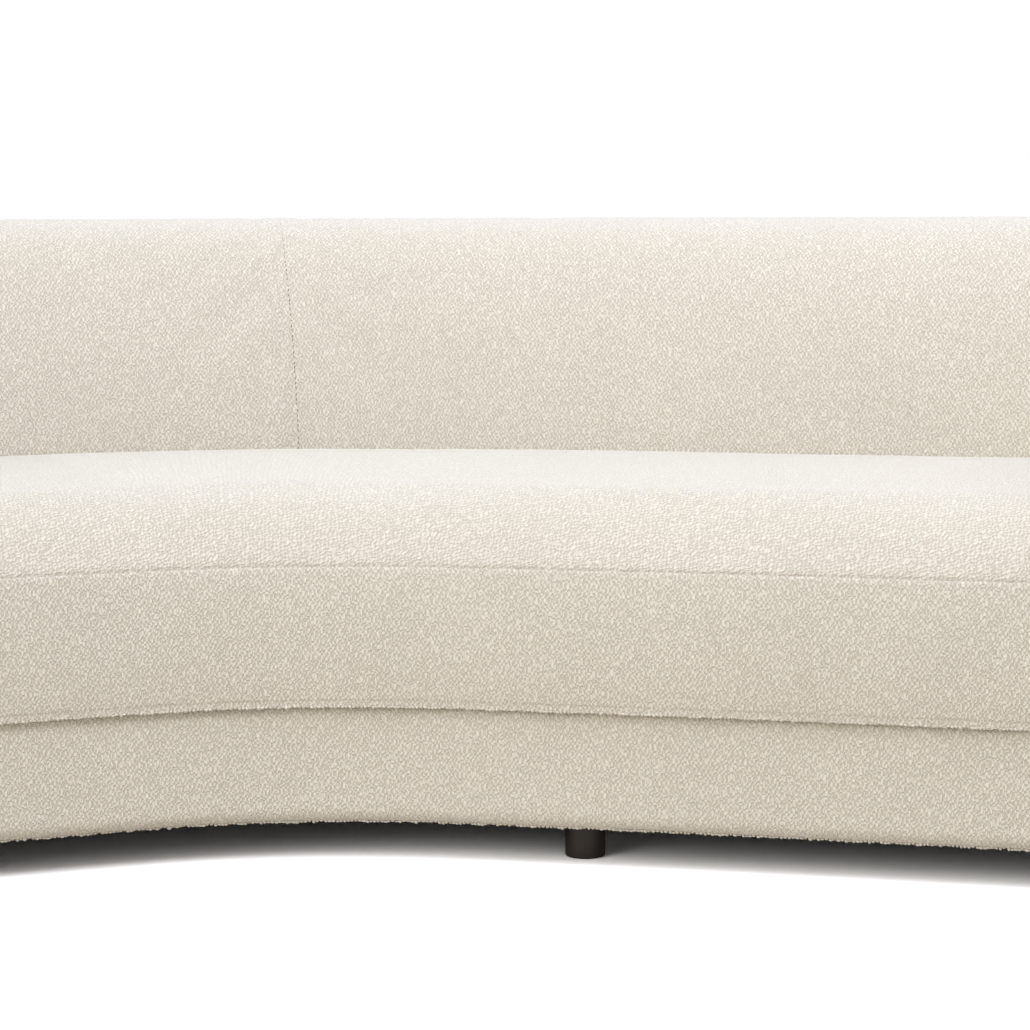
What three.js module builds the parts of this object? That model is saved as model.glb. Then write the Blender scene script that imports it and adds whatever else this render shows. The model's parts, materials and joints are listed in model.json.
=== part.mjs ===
import * as THREE from 'three';

// A long curved sofa with a fixed bench seat and a tight back that wraps round both ends as arms.
// Lengths are millimetres. X runs along the sofa, Y from the front to the back and Z up.
// A place in plan is a run along the base's front face, from its middle, and a depth square to it.

// Plan of the base's front face
const bendRadius = 716;
const bendHalfAngle = THREE.MathUtils.degToRad(16.3);
const wingRadius = 14000;
const wingRun = 885;

// Heights
const legHeight = 50;
const baseHeight = 140;
const grooveGap = 4.5;
const bandHeight = 173.5;
const seatLineHeight = 460;
const backHeight = 787;

// Seat
const seatDepth = 556;
const seatOverhang = 8;
const seatCornerRadius = 120;
const waterfallReach = 118;
const waterfallStart = THREE.MathUtils.degToRad(24);
const waterfallTop = 457;
const crownHeight = 466;
const bandBulge = 3;
const seamDip = 1.5;
const seatEdgeRadius = 15;
const seatTuck = 60;
const seatClearance = 1.5;

// Back and arms, measured across from the crest line
const backSetback = 180;
const rearThickness = 72;
const noseReach = 90;
const noseExponent = 3;
const backTuckHeight = 300;
const armTuckHeight = 200;
const rearRollHeight = 80;
const innerRollReach = 145;
const innerRollHeight = 185;
const backLean = 12;
const middleSeamDip = 3;
const middleSeamReach = 28;
const middleSeamShares = [
  { reachShare: 0, dipShare: 1 },
  { reachShare: 0.33, dipShare: 0.33 },
  { reachShare: 1, dipShare: 0 },
];
const seamOpening = 0.25;

// Cloth, padding and the clearance between pieces that touch
const clothThickness = 3;
const clearance = 0.3;
const rollRadius = 12;
const rearFlange = 20;
const basePaddingThickness = 11.4;
const baseTopFlange = 18;
const baseBottomFlange = 34;
const dustCoverThickness = 1.5;
const dustCoverInset = 36;

// Timber
const boardThickness = 22;
const baseFrontCornerRadius = 75;
const crossRailWidth = 90;
const squareEndTrim = 4;
const spacerInset = 30;
const spacerWidth = 30;
const seatRailInset = 40;
const seatRailHeight = 78;
const seatEndRun = 975;
const frameInner = 80;
const frameTopHalf = 50;
const ribThickness = 18;
const ribShoulderDrop = 17;
const ribOpeningWall = 26;
const ribOpeningRadius = 14;
const ribPitch = 400;
const ribCount = 5;
const outsideBoardThickness = 4;
const boardDrop = 3;
const topRailDrop = 55;

// Seat support
const webbingWidth = 60;
const webbingThickness = 2;
const webbingPitch = 232;
const webbingCount = 8;
const feltThickness = 5.4;

// Legs and their bolts
const legRadius = 25;
const legEdge = 2;
const legSetback = 82;
const legRearInset = 58;
const legHoleClearance = 1;
const innerLegRunRight = 340;
const innerLegRunLeft = 400;
const outerLegRun = 1070;
const boltRadius = 4;
const boltBoreClearance = 0.3;
const boltInLeg = 28;
const boltBoreSpare = 4;
const boltHeadRadius = 11;
const boltHeadThickness = 2;
const boltTail = 5;

// How finely curves are cut into flats
const bendSteps = 4;
const wingSteps = 4;
const cornerSteps = 6;
const armSteps = 2;
const noseSteps = 8;
const baseCornerSteps = 4;
const rollSteps = 6;
const edgeSteps = 2;
const faceSteps = 3;
const crownSteps = 4;
const openingCornerSteps = 3;
const pointPlaces = 3;
const waterfallSteps = 5;
const legSides = 20;
const boltSides = 8;
const holeSteps = 8;

// Values that follow from the sizes above
const bendRun = bendRadius * bendHalfAngle;
const crestDepth = seatDepth + backSetback;
const crestCornerRadius = seatCornerRadius + backSetback;
const cornerDepth = crestDepth - crestCornerRadius;
const noseDepth = noseReach - seatOverhang;
const armRun = wingRun + crestCornerRadius;
const baseTop = legHeight + baseHeight;
const bodyBottom = baseTop + grooveGap;
const seamHeight = bodyBottom + bandHeight;
const frameBottom = legHeight + clothThickness + clearance;
const frameTop = baseTop - clothThickness - clearance;
const bodyFrameBottom = bodyBottom + clothThickness + clearance;
const seatEndReach = seatCornerRadius - seatClearance;
const baseRear = crestDepth + rearThickness - seatOverhang;
const baseSide = armRun + rearThickness - seatOverhang;
const railInset = clothThickness + basePaddingThickness + 2 * clearance;
const rearSeamHeight = backHeight - rearRollHeight;
const frameOuter = rearThickness - clothThickness - outsideBoardThickness - 2 * clearance;
const boardTop = rearSeamHeight - boardDrop;
const sillOuter = rearThickness - rollRadius;
const sillTop = bodyFrameBottom + boardThickness;
const topRailHeight = backHeight - topRailDrop;
const topRailBottom = topRailHeight - boardThickness;
const seatRailTop = bodyFrameBottom + seatRailHeight;
const webbingBottom = seatRailTop + clearance;
const feltBottom = webbingBottom + webbingThickness + clearance;
const foamBottom = feltBottom + feltThickness + clearance;

const materials = {
  cloth: new THREE.MeshStandardMaterial({ name: 'cloth', color: 0xe6e0d0, roughness: 0.95 }),
  darkWood: new THREE.MeshStandardMaterial({ name: 'dark_wood', color: 0x2a2422, roughness: 0.45 }),
  timber: new THREE.MeshStandardMaterial({ name: 'timber', color: 0xc9a876, roughness: 0.7 }),
  board: new THREE.MeshStandardMaterial({ name: 'board', color: 0x9a7a55, roughness: 0.8 }),
  foam: new THREE.MeshStandardMaterial({ name: 'foam', color: 0xf0e2b0, roughness: 0.9 }),
  felt: new THREE.MeshStandardMaterial({ name: 'felt', color: 0x8d8a86, roughness: 1 }),
  webbing: new THREE.MeshStandardMaterial({ name: 'webbing', color: 0x4a4640, roughness: 0.9 }),
  dustCloth: new THREE.MeshStandardMaterial({ name: 'dust_cloth', color: 0x1c1c1c, roughness: 1 }),
  steel: new THREE.MeshStandardMaterial({ name: 'steel', color: 0xb8babd, metalness: 1, roughness: 0.35 }),
};

const sofa = new THREE.Group();

function addPiece(name, geometry, material) {
  const mesh = new THREE.Mesh(geometry, material);
  mesh.name = name;
  sofa.add(mesh);
  return mesh;
}

// The same piece on both sides, the left one as the right one's mirror image
function addPair(name, geometry, material) {
  addPiece(`${name}_right`, geometry, material);
  addPiece(`${name}_left`, geometry, material).scale.x = -1;
}

// Plan

// The base's front face at a run, with the direction square to it towards the back
function frontAt(run) {
  const reach = Math.abs(run);
  const side = Math.sign(run) || 1;
  const bend = Math.min(reach, bendRun) / bendRadius;
  const turn = bend + Math.max(0, Math.min(reach, wingRun) - bendRun) / wingRadius;
  const straight = Math.max(0, reach - wingRun);
  const along = bendRadius * Math.sin(bend) + wingRadius * (Math.sin(turn) - Math.sin(bend));
  const ahead = bendRadius * (1 - Math.cos(bend)) + wingRadius * (Math.cos(bend) - Math.cos(turn));
  return {
    place: new THREE.Vector2(
      side * (along + straight * Math.cos(turn)),
      -ahead - straight * Math.sin(turn),
    ),
    back: new THREE.Vector2(side * Math.sin(turn), Math.cos(turn)),
  };
}

function planPoint(run, depth) {
  const { place, back } = frontAt(run);
  return place.addScaledVector(back, depth);
}

// The frame of the right arm: where the wing ends, the way along it and the way to the back
const wingEnd = frontAt(wingRun);
const wingBack = wingEnd.back;
const wingAlong = new THREE.Vector2(wingBack.y, -wingBack.x);
const cornerCentre = wingEnd.place.clone().addScaledVector(wingBack, cornerDepth);

function between(from, to, share) {
  return from + (to - from) * share;
}

function evenly(from, to, steps) {
  return Array.from({ length: steps + 1 }, (_, i) => between(from, to, i / steps));
}

// Runs from the middle to the wing's end, on which every curved layer of the sofa is cut
function wingRuns() {
  return [...evenly(0, bendRun, bendSteps), ...evenly(bendRun, wingRun, wingSteps).slice(1)];
}

function turned(angle) {
  return wingBack.clone().multiplyScalar(Math.cos(angle)).addScaledVector(wingAlong, Math.sin(angle));
}

// Stations carry a place in plan and the way out of the sofa there
function station(place, out, extra = {}) {
  return { place, out, ...extra };
}

function mirrored(stations) {
  const flip = (v) => new THREE.Vector2(-v.x, v.y);
  return stations.map((s) => ({ ...s, place: flip(s.place), out: flip(s.out) }));
}

// The base's outline from the middle of its front to the middle of its rear, on the right
function baseStations() {
  const corner = baseFrontCornerRadius;
  const sideRun = baseSide - corner;
  const front = [...wingRuns(), sideRun].map((run) => {
    const { place, back } = frontAt(run);
    return station(place, back.clone().negate());
  });
  const frontCorner = planPoint(sideRun, corner);
  const cornerTurns = evenly(Math.PI, Math.PI / 2, baseCornerSteps).slice(1);
  const round = cornerTurns.map((turn) => {
    return station(frontCorner.clone().addScaledVector(turned(turn), corner), turned(turn));
  });
  const rearRadius = baseSide - wingRun;
  const rearRound = evenly(Math.PI / 2, 0, cornerSteps).map((turn) => {
    return station(cornerCentre.clone().addScaledVector(turned(turn), rearRadius), turned(turn));
  });
  const rear = wingRuns().reverse().slice(1).map((run) => {
    return station(planPoint(run, baseRear), frontAt(run).back);
  });
  return [...front, ...round, ...rearRound, ...rear];
}

function baseLoop() {
  const right = baseStations();
  return [...right, ...mirrored(right.slice(1, -1)).reverse()];
}

// The crest line of the back and the right arm, from the middle to the arm's nose.
// inset pulls the surface in at the middle seam, tuck says how low the inner face goes.
function crestStations() {
  const seamRuns = middleSeamShares.map(({ reachShare }) => {
    return Math.max(seamOpening, middleSeamReach * reachShare);
  });
  const backRuns = [...seamRuns, ...wingRuns().slice(1)];
  const rear = backRuns.map((run, i) => {
    const pull = middleSeamDip * (middleSeamShares[i]?.dipShare ?? 0);
    return station(planPoint(run, crestDepth), frontAt(run).back, { pull, tuck: backTuckHeight });
  });
  const corner = evenly(0, Math.PI / 2, cornerSteps).slice(1).map((turn) => {
    const place = cornerCentre.clone().addScaledVector(turned(turn), crestCornerRadius);
    return station(place, turned(turn), { pull: 0, tuck: backTuckHeight });
  });
  const arm = evenly(cornerDepth, noseDepth, armSteps).slice(1).map((depth) => {
    return station(planPoint(armRun, depth), wingAlong.clone(), { pull: 0, tuck: armTuckHeight });
  });
  return [...rear, ...corner, ...arm];
}

// Geometry helpers

function fromTriangles(points, triangles) {
  const geometry = new THREE.BufferGeometry().setFromPoints(triangles.flat().map((i) => points[i]));
  geometry.computeVertexNormals();
  return geometry;
}

function enclosedVolume(points, triangles) {
  const cross = new THREE.Vector3();
  return triangles.reduce((sum, [a, b, c]) => {
    return sum + points[a].dot(cross.crossVectors(points[b], points[c]));
  }, 0);
}

function facingOut(points, triangles) {
  const outward = enclosedVolume(points, triangles) > 0;
  return fromTriangles(points, outward ? triangles : triangles.map(([a, b, c]) => [a, c, b]));
}

// A surface with thickness: each of its points has an outer and an inner place.
class Sheet {
  constructor() {
    this.outer = [];
    this.inner = [];
    this.faces = [];
    this.known = new Map();
  }

  point({ outer, inner }) {
    const key = outer.toArray().map((c) => c.toFixed(pointPlaces)).join(' ');
    if (!this.known.has(key)) {
      this.known.set(key, this.outer.push(outer) - 1);
      this.inner.push(inner);
    }
    return this.known.get(key);
  }

  triangle(a, b, c) {
    if (a !== b && b !== c && c !== a) this.faces.push([a, b, c]);
  }

  // rows of points side by side, each the same length
  grid(rows) {
    const index = rows.map((row) => row.map((p) => this.point(p)));
    for (let i = 0; i + 1 < index.length; i += 1) {
      for (let k = 0; k + 1 < index[i].length; k += 1) {
        this.triangle(index[i][k], index[i + 1][k], index[i + 1][k + 1]);
        this.triangle(index[i][k], index[i + 1][k + 1], index[i][k + 1]);
      }
    }
  }

  // both surfaces, and walls along the open edges
  geometry() {
    const count = this.outer.length;
    const edges = new Set(this.faces.flatMap(([a, b, c]) => [`${a} ${b}`, `${b} ${c}`, `${c} ${a}`]));
    const under = this.faces.map(([a, b, c]) => [a + count, c + count, b + count]);
    const walls = [...edges].flatMap((edge) => {
      const [a, b] = edge.split(' ').map(Number);
      if (edges.has(`${b} ${a}`)) return [];
      return [[b, a, a + count], [b, a + count, b + count]];
    });
    return facingOut([...this.outer, ...this.inner], [...this.faces, ...under, ...walls]);
  }
}

// A solid through closed sections side by side, capped at both ends unless it comes round
function loft(sections, capOutline) {
  const size = sections[0].length;
  const points = sections.flat();
  const rings = capOutline ? sections.length - 1 : sections.length;
  const triangles = [];
  for (let i = 0; i < rings; i += 1) {
    for (let k = 0; k < size; k += 1) {
      const a = i * size + k;
      const b = i * size + (k + 1) % size;
      const c = ((i + 1) % sections.length) * size + k;
      const d = ((i + 1) % sections.length) * size + (k + 1) % size;
      triangles.push([a, b, d], [a, d, c]);
    }
  }
  if (capOutline) {
    const far = (sections.length - 1) * size;
    const clockwise = THREE.ShapeUtils.isClockWise(capOutline);
    THREE.ShapeUtils.triangulateShape(capOutline, []).forEach(([a, b, c]) => {
      const near = clockwise ? [a, b, c] : [a, c, b];
      triangles.push(near, [near[0] + far, near[2] + far, near[1] + far]);
    });
  }
  return facingOut(points, triangles);
}

// An upright solid on a plan outline
function upright(outline, bottom, top, holes = []) {
  const clockwise = THREE.ShapeUtils.isClockWise(outline);
  const shape = new THREE.Shape(clockwise ? [...outline].reverse() : outline);
  shape.holes = holes;
  const geometry = new THREE.ExtrudeGeometry(shape, {
    depth: top - bottom,
    bevelEnabled: false,
    curveSegments: holeSteps,
  });
  return geometry.translate(0, 0, bottom);
}

function inset(stations, distance) {
  return stations.map((s) => s.place.clone().addScaledVector(s.out, -distance));
}

// A strip of even width along stations, from one inset to another
function strip(stations, near, far, bottom, top) {
  return upright([...inset(stations, near), ...inset(stations, far).reverse()], bottom, top);
}

function ring(near, far, bottom, top) {
  const loop = baseLoop();
  return upright(inset(loop, near), bottom, top, [new THREE.Path(inset(loop, far))]);
}

// A line in section moved square to itself, to its left for a positive distance.
// level makes its last point move straight down, so that two lines still meet there.
function offsetLine(line, distance, level) {
  const segments = line.slice(1).map((p, i) => p.clone().sub(line[i]).normalize());
  return line.map((p, i) => {
    const before = segments[Math.max(0, i - 1)];
    const after = segments[Math.min(i, segments.length - 1)];
    if (level && i === line.length - 1) return new THREE.Vector2(p.x, p.y - distance);
    const scale = distance / (1 + before.dot(after));
    const shift = new THREE.Vector2(-before.y - after.y, before.x + after.x).multiplyScalar(scale);
    return p.clone().add(shift);
  });
}

// The under edge of a cover, from its flange round to its face: width out from the crest line
function underEdge(width, bottom) {
  const roll = evenly(0, Math.PI / 2, edgeSteps).map((turn) => {
    return new THREE.Vector2(
      width - rollRadius * (1 - Math.sin(turn)),
      bottom + rollRadius * (1 - Math.cos(turn)),
    );
  });
  return [new THREE.Vector2(width - rearFlange, bottom), ...roll];
}

// Half sections of back and arms, from the under edge up to the crest, as (width, height)

function innerRoll() {
  return new THREE.CubicBezierCurve(
    new THREE.Vector2(backSetback, seatLineHeight),
    new THREE.Vector2(backSetback - backLean, seatLineHeight + innerRollHeight),
    new THREE.Vector2(innerRollReach, backHeight),
    new THREE.Vector2(0, backHeight),
  ).getPoints(rollSteps);
}

function innerHalf(tuck) {
  const middle = between(tuck, seatLineHeight, 1 / 2);
  return [...underEdge(backSetback, tuck), new THREE.Vector2(backSetback, middle), ...innerRoll()];
}

function roundedHalf(width, bottom) {
  const roll = evenly(0, Math.PI / 2, rollSteps - 1).map((turn) => {
    return new THREE.Vector2(
      width * Math.cos(turn),
      rearSeamHeight + rearRollHeight * Math.sin(turn),
    );
  });
  const face = evenly(bottom + rollRadius, rearSeamHeight, faceSteps).slice(1, -1).map((height) => {
    return new THREE.Vector2(width, height);
  });
  return [...underEdge(width, bottom), ...face, ...roll];
}

const rollEndIndex = edgeSteps + 1;
const crestIndex = innerHalf(backTuckHeight).length - 1;
const rearSeamIndex = crestIndex - (rollSteps - 1);

// Pairs of outer and inner section points of a cover layer
function layer(line, outerInset, innerInset) {
  const outer = offsetLine(line, outerInset, true);
  const inner = offsetLine(line, innerInset, true);
  return outer.map((p, i) => ({ outer: p, inner: inner[i] }));
}

function raised(place, out, width, height) {
  const p = place.clone().addScaledVector(out, width);
  return new THREE.Vector3(p.x, p.y, height);
}

function bothSides(make) {
  return { outer: make('outer'), inner: make('inner') };
}

// The round front end of an arm: inner, front and outer half sections blended round the nose
function noseRows(end, inner, front, outer) {
  const ahead = wingBack.clone().negate();
  return evenly(0, Math.PI, noseSteps).map((turn) => {
    const across = Math.cos(turn);
    const forward = Math.sin(turn);
    const side = across >= 0 ? inner : outer;
    const sideShare = across * across;
    const acrossShare = Math.sign(across) * Math.abs(across) ** (2 / noseExponent);
    const forwardShare = Math.abs(forward) ** (2 / noseExponent);
    return side.map((pair, k) => bothSides((face) => {
      const height = between(front[k][face].y, pair[face].y, sideShare);
      const place = end.place.clone().addScaledVector(ahead, front[k][face].x * forwardShare);
      return raised(place, end.out, -pair[face].x * acrossShare, height);
    }));
  });
}

// Inside of the back and the arm with its nose, over the crest as far as the rear seam
function shellGeometry(stations, innerOf, outerOf, front, seamIndex) {
  const sheet = new Sheet();
  const rows = stations.map((s) => {
    const inner = innerOf(s).map((pair) => bothSides((face) => {
      return raised(s.place, s.out, -pair[face].x, pair[face].y);
    }));
    const outer = outerOf(s).slice(seamIndex, -1).reverse().map((pair) => bothSides((face) => {
      return raised(s.place, s.out, pair[face].x, pair[face].y);
    }));
    return [...inner, ...outer];
  });
  sheet.grid(rows);
  const end = stations[stations.length - 1];
  sheet.grid(noseRows(end, innerOf(end), front, outerOf(end)));
  return sheet.geometry();
}

// Base

function buildBase() {
  const right = baseStations();
  const frontCount = wingRuns().length + 1;
  const rearStart = right.length - wingRuns().length;
  const frontRight = right.slice(0, frontCount);
  const frontRun = [...mirrored(frontRight.slice(1)).reverse(), ...frontRight];
  const rearRight = right.slice(rearStart);
  const rearRun = [...rearRight, ...mirrored(rearRight.slice(0, -1)).reverse()];
  const endRun = shortened(right.slice(frontCount - 1, rearStart + 1), clearance);
  const railEnd = railInset + boardThickness;
  const rail = (line) => strip(line, railInset, railEnd, frameBottom, frameTop);
  addPiece('base_front_rail', rail(frontRun), materials.timber);
  addPiece('base_rear_rail', rail(rearRun), materials.timber);
  addPair('base_end_rail', rail(endRun), materials.timber);

  addPiece('base_padding', aroundBase(basePaddingSection()), materials.foam);
  addPiece('base_cover', aroundBase(baseCoverSection()), materials.cloth);
  addPiece('dust_cover_right', dustCoverGeometry(1), materials.dustCloth);
  addPiece('dust_cover_left', dustCoverGeometry(-1), materials.dustCloth);

  const spacerEnd = spacerInset + spacerWidth;
  const spacerTop = bodyFrameBottom - clearance;
  const spacer = ring(spacerInset, spacerEnd, frameTop + clearance, spacerTop);
  addPiece('groove_spacer', spacer, materials.timber);
}

// The same line with its first and last station drawn in, so that a piece clears its neighbours
function shortened(stations, distance) {
  const drawnIn = (end, next) => {
    const along = next.place.clone().sub(end.place).normalize();
    return { ...end, place: end.place.clone().addScaledVector(along, distance) };
  };
  const last = stations.length - 1;
  return [
    drawnIn(stations[0], stations[1]),
    ...stations.slice(1, last),
    drawnIn(stations[last], stations[last - 1]),
  ];
}

// The cover's section, as (inset, height): flange, rounded lower edge, face, rounded top edge, flange
function baseCoverLine() {
  const low = evenly(0, Math.PI / 2, edgeSteps).map((turn) => new THREE.Vector2(
    rollRadius * (1 - Math.sin(turn)),
    legHeight + rollRadius * (1 - Math.cos(turn)),
  ));
  const high = evenly(0, Math.PI / 2, edgeSteps).map((turn) => new THREE.Vector2(
    rollRadius * (1 - Math.cos(turn)),
    baseTop - rollRadius * (1 - Math.sin(turn)),
  ));
  return [
    new THREE.Vector2(baseBottomFlange, legHeight),
    ...low,
    ...high,
    new THREE.Vector2(baseTopFlange, baseTop),
  ];
}

function baseCoverSection() {
  const outer = baseCoverLine();
  return [...outer, ...offsetLine(outer, -clothThickness, false).reverse()];
}

function basePaddingSection() {
  const line = offsetLine(baseCoverLine(), -clothThickness - clearance, false).slice(1, -1);
  const end = railInset - clearance;
  const top = line[line.length - 1].y;
  return [...line, new THREE.Vector2(end, top), new THREE.Vector2(end, line[0].y)];
}

function aroundBase(section) {
  return loft(baseLoop().map((s) => section.map((p) => raised(s.place, s.out, -p.x, p.y))), null);
}

function legPlaces() {
  return [-outerLegRun, -innerLegRunLeft, innerLegRunRight, outerLegRun].map((run) => {
    return { run, rearDepth: crossRailEnd(run) - legRearInset };
  });
}

// How far back a cross rail reaches: to the inner face of the base's rear rail
function crossRailEnd(run) {
  const edge = Math.abs(run) + crossRailWidth / 2 - wingRun;
  const reach = baseSide - wingRun - railInset - boardThickness;
  const straight = baseRear - railInset - boardThickness;
  const depth = edge > 0 ? cornerDepth + Math.sqrt(reach * reach - edge * edge) : straight;
  return depth - squareEndTrim;
}

function dustCoverGeometry(side) {
  const right = baseStations();
  const edge = inset(side > 0 ? right : mirrored(right), dustCoverInset);
  edge[0].x += side * seamOpening;
  edge[edge.length - 1].x += side * seamOpening;
  const holes = legPlaces().filter(({ run }) => run * side > 0).flatMap(({ run, rearDepth }) => {
    return [legSetback, rearDepth].map((depth) => {
      return roundHole(planPoint(run, depth), legRadius + legHoleClearance);
    });
  });
  const top = frameBottom - clearance;
  return upright(edge, top - dustCoverThickness, top, holes);
}

function roundHole(centre, radius) {
  return new THREE.Path().absarc(centre.x, centre.y, radius, 0, 2 * Math.PI, true);
}

// Legs, the cross rails that they bolt to, and the bolts

function buildLegs() {
  legPlaces().forEach(({ run, rearDepth }, i) => {
    const number = i + 1;
    addPiece(`cross_rail_${number}`, crossRailGeometry(run, rearDepth), materials.timber);
    const places = { front: planPoint(run, legSetback), rear: planPoint(run, rearDepth) };
    Object.entries(places).forEach(([row, place]) => {
      addPiece(`leg_${row}_${number}`, legGeometry(), materials.darkWood)
        .position.set(place.x, place.y, 0);
      addPiece(`leg_bolt_${row}_${number}`, boltGeometry(), materials.steel)
        .position.set(place.x, place.y, 0);
    });
  });
}

function crossRailGeometry(run, rearDepth) {
  const front = railInset + boardThickness + clearance;
  const half = crossRailWidth / 2;
  const { place, back } = frontAt(run);
  const along = new THREE.Vector2(back.y, -back.x);
  const at = (across, depth) => {
    return place.clone().addScaledVector(along, across).addScaledVector(back, depth);
  };
  const end = crossRailEnd(run);
  const outline = [at(-half, front), at(half, front), at(half, end), at(-half, end)];
  const holes = [legSetback, rearDepth].map((depth) => {
    return roundHole(at(0, depth), boltRadius + boltBoreClearance);
  });
  return upright(outline, frameBottom, frameBottom + boardThickness, holes);
}

// A turned leg with a blind bore in its top for the bolt
function legGeometry() {
  const top = frameBottom - clearance;
  const bore = boltRadius + boltBoreClearance;
  const profile = [
    new THREE.Vector2(0, 0),
    new THREE.Vector2(legRadius - legEdge, 0),
    new THREE.Vector2(legRadius, legEdge),
    new THREE.Vector2(legRadius, top),
    new THREE.Vector2(bore, top),
    new THREE.Vector2(bore, top - boltInLeg - boltBoreSpare),
    new THREE.Vector2(0, top - boltInLeg - boltBoreSpare),
  ];
  return new THREE.LatheGeometry(profile, legSides).rotateX(Math.PI / 2);
}

function boltGeometry() {
  const bottom = frameBottom - clearance - boltInLeg;
  const seat = frameBottom + boardThickness + clearance;
  const profile = [
    new THREE.Vector2(0, bottom),
    new THREE.Vector2(boltRadius, bottom),
    new THREE.Vector2(boltRadius, seat),
    new THREE.Vector2(boltHeadRadius, seat),
    new THREE.Vector2(boltHeadRadius, seat + boltHeadThickness),
    new THREE.Vector2(boltRadius, seat + boltHeadThickness),
    new THREE.Vector2(boltRadius, seat + boltTail),
    new THREE.Vector2(0, seat + boltTail),
  ];
  return new THREE.LatheGeometry(profile, boltSides).rotateX(Math.PI / 2);
}

// Seat

// How far back the seat reaches at a run, round its rear corner
function seatRear(run) {
  const past = Math.max(0, Math.abs(run) - wingRun);
  return cornerDepth + Math.sqrt(Math.max(0, seatEndReach * seatEndReach - past * past));
}

function bothWays(runs) {
  return [...runs.slice(1).reverse().map((run) => -run), ...runs];
}

// Runs across half the seat, closer together where its rear corner and its end turn down
function seatRuns() {
  const corner = evenly(0, Math.PI / 2, cornerSteps).slice(1).map((turn) => {
    return wingRun + seatEndReach * Math.sin(turn);
  });
  return [...wingRuns(), ...corner];
}

// A run past the wing's end, drawn in so that the seat's end moves by a distance
function shortRun(run, distance) {
  const past = Math.max(0, Math.abs(run) - wingRun);
  return run - Math.sign(run) * distance * past / seatEndReach;
}

function onRun(run, line) {
  const { place, back } = frontAt(run);
  return line.map((p) => raised(place, back, p.x, p.y));
}

// The seat's top line over one run, as (depth, height), from the flange under the band to the rear tuck
function seatLine(run) {
  const toEnd = wingRun + seatEndReach - Math.abs(run);
  const rear = seatRear(run);
  const low = evenly(0, Math.PI / 2, edgeSteps).map((turn) => new THREE.Vector2(
    rollRadius * (1 - Math.sin(turn)) - seatOverhang,
    bodyBottom + rollRadius * (1 - Math.cos(turn)),
  ));
  const middle = between(bodyBottom + rollRadius, seamHeight, 1 / 2);
  const rise = waterfallTop - seamHeight;
  const startUp = Math.sin(waterfallStart);
  const startIn = Math.cos(waterfallStart);
  const front = evenly(waterfallStart, Math.PI / 2, waterfallSteps).map((turn) => new THREE.Vector2(
    seamDip - seatOverhang + waterfallReach * (1 - Math.cos(turn) / startIn),
    seamHeight + rise * (Math.sin(turn) - startUp) / (1 - startUp),
  ));
  const crownStart = front[front.length - 1].x;
  const crownEnd = rear - seatEdgeRadius;
  const lift = crownHeight - between(waterfallTop, seatLineHeight, 1 / 2);
  const crown = evenly(0, 1, crownSteps).slice(1, -1).map((share) => {
    const base = between(waterfallTop, seatLineHeight, share);
    const height = base + lift * (1 - (2 * share - 1) ** 2);
    return new THREE.Vector2(between(crownStart, crownEnd, share), height);
  });
  const edge = evenly(0, Math.PI / 2, edgeSteps).map((turn) => new THREE.Vector2(
    crownEnd + seatEdgeRadius * Math.sin(turn),
    seatLineHeight - seatEdgeRadius * (1 - Math.cos(turn)),
  ));
  const top = [...crown, ...edge].map((p) => new THREE.Vector2(p.x, p.y - endDrop(toEnd)));
  return [
    new THREE.Vector2(rearFlange - seatOverhang, bodyBottom),
    ...low,
    new THREE.Vector2(-seatOverhang - bandBulge, middle),
    ...front,
    ...top,
    new THREE.Vector2(rear, seatLineHeight - seatTuck),
  ];
}

// The seat's ends turn down beside the arms with the same radius as its rear edge
function endDrop(toEnd) {
  const left = Math.max(0, seatEdgeRadius - toEnd);
  return seatEdgeRadius - Math.sqrt(seatEdgeRadius * seatEdgeRadius - left * left);
}

// The cover over the foam, with an end wall beside each arm
function seatCoverGeometry(runs) {
  const rows = runs.map((run) => {
    const line = seatLine(run);
    const outer = onRun(run, line);
    const inner = onRun(shortRun(run, clothThickness), offsetLine(line, -clothThickness, false));
    return outer.map((p, k) => ({ outer: p, inner: inner[k] }));
  });
  const walls = [rows[0], rows[rows.length - 1]].map((row) => {
    const last = row.length - 1;
    return row.map((pair, k) => bothSides((face) => {
      return row[0][face].clone().lerp(row[last][face], k / last);
    }));
  });
  const sheet = new Sheet();
  sheet.grid([walls[0], ...rows, walls[1]]);
  return sheet.geometry();
}

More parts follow.
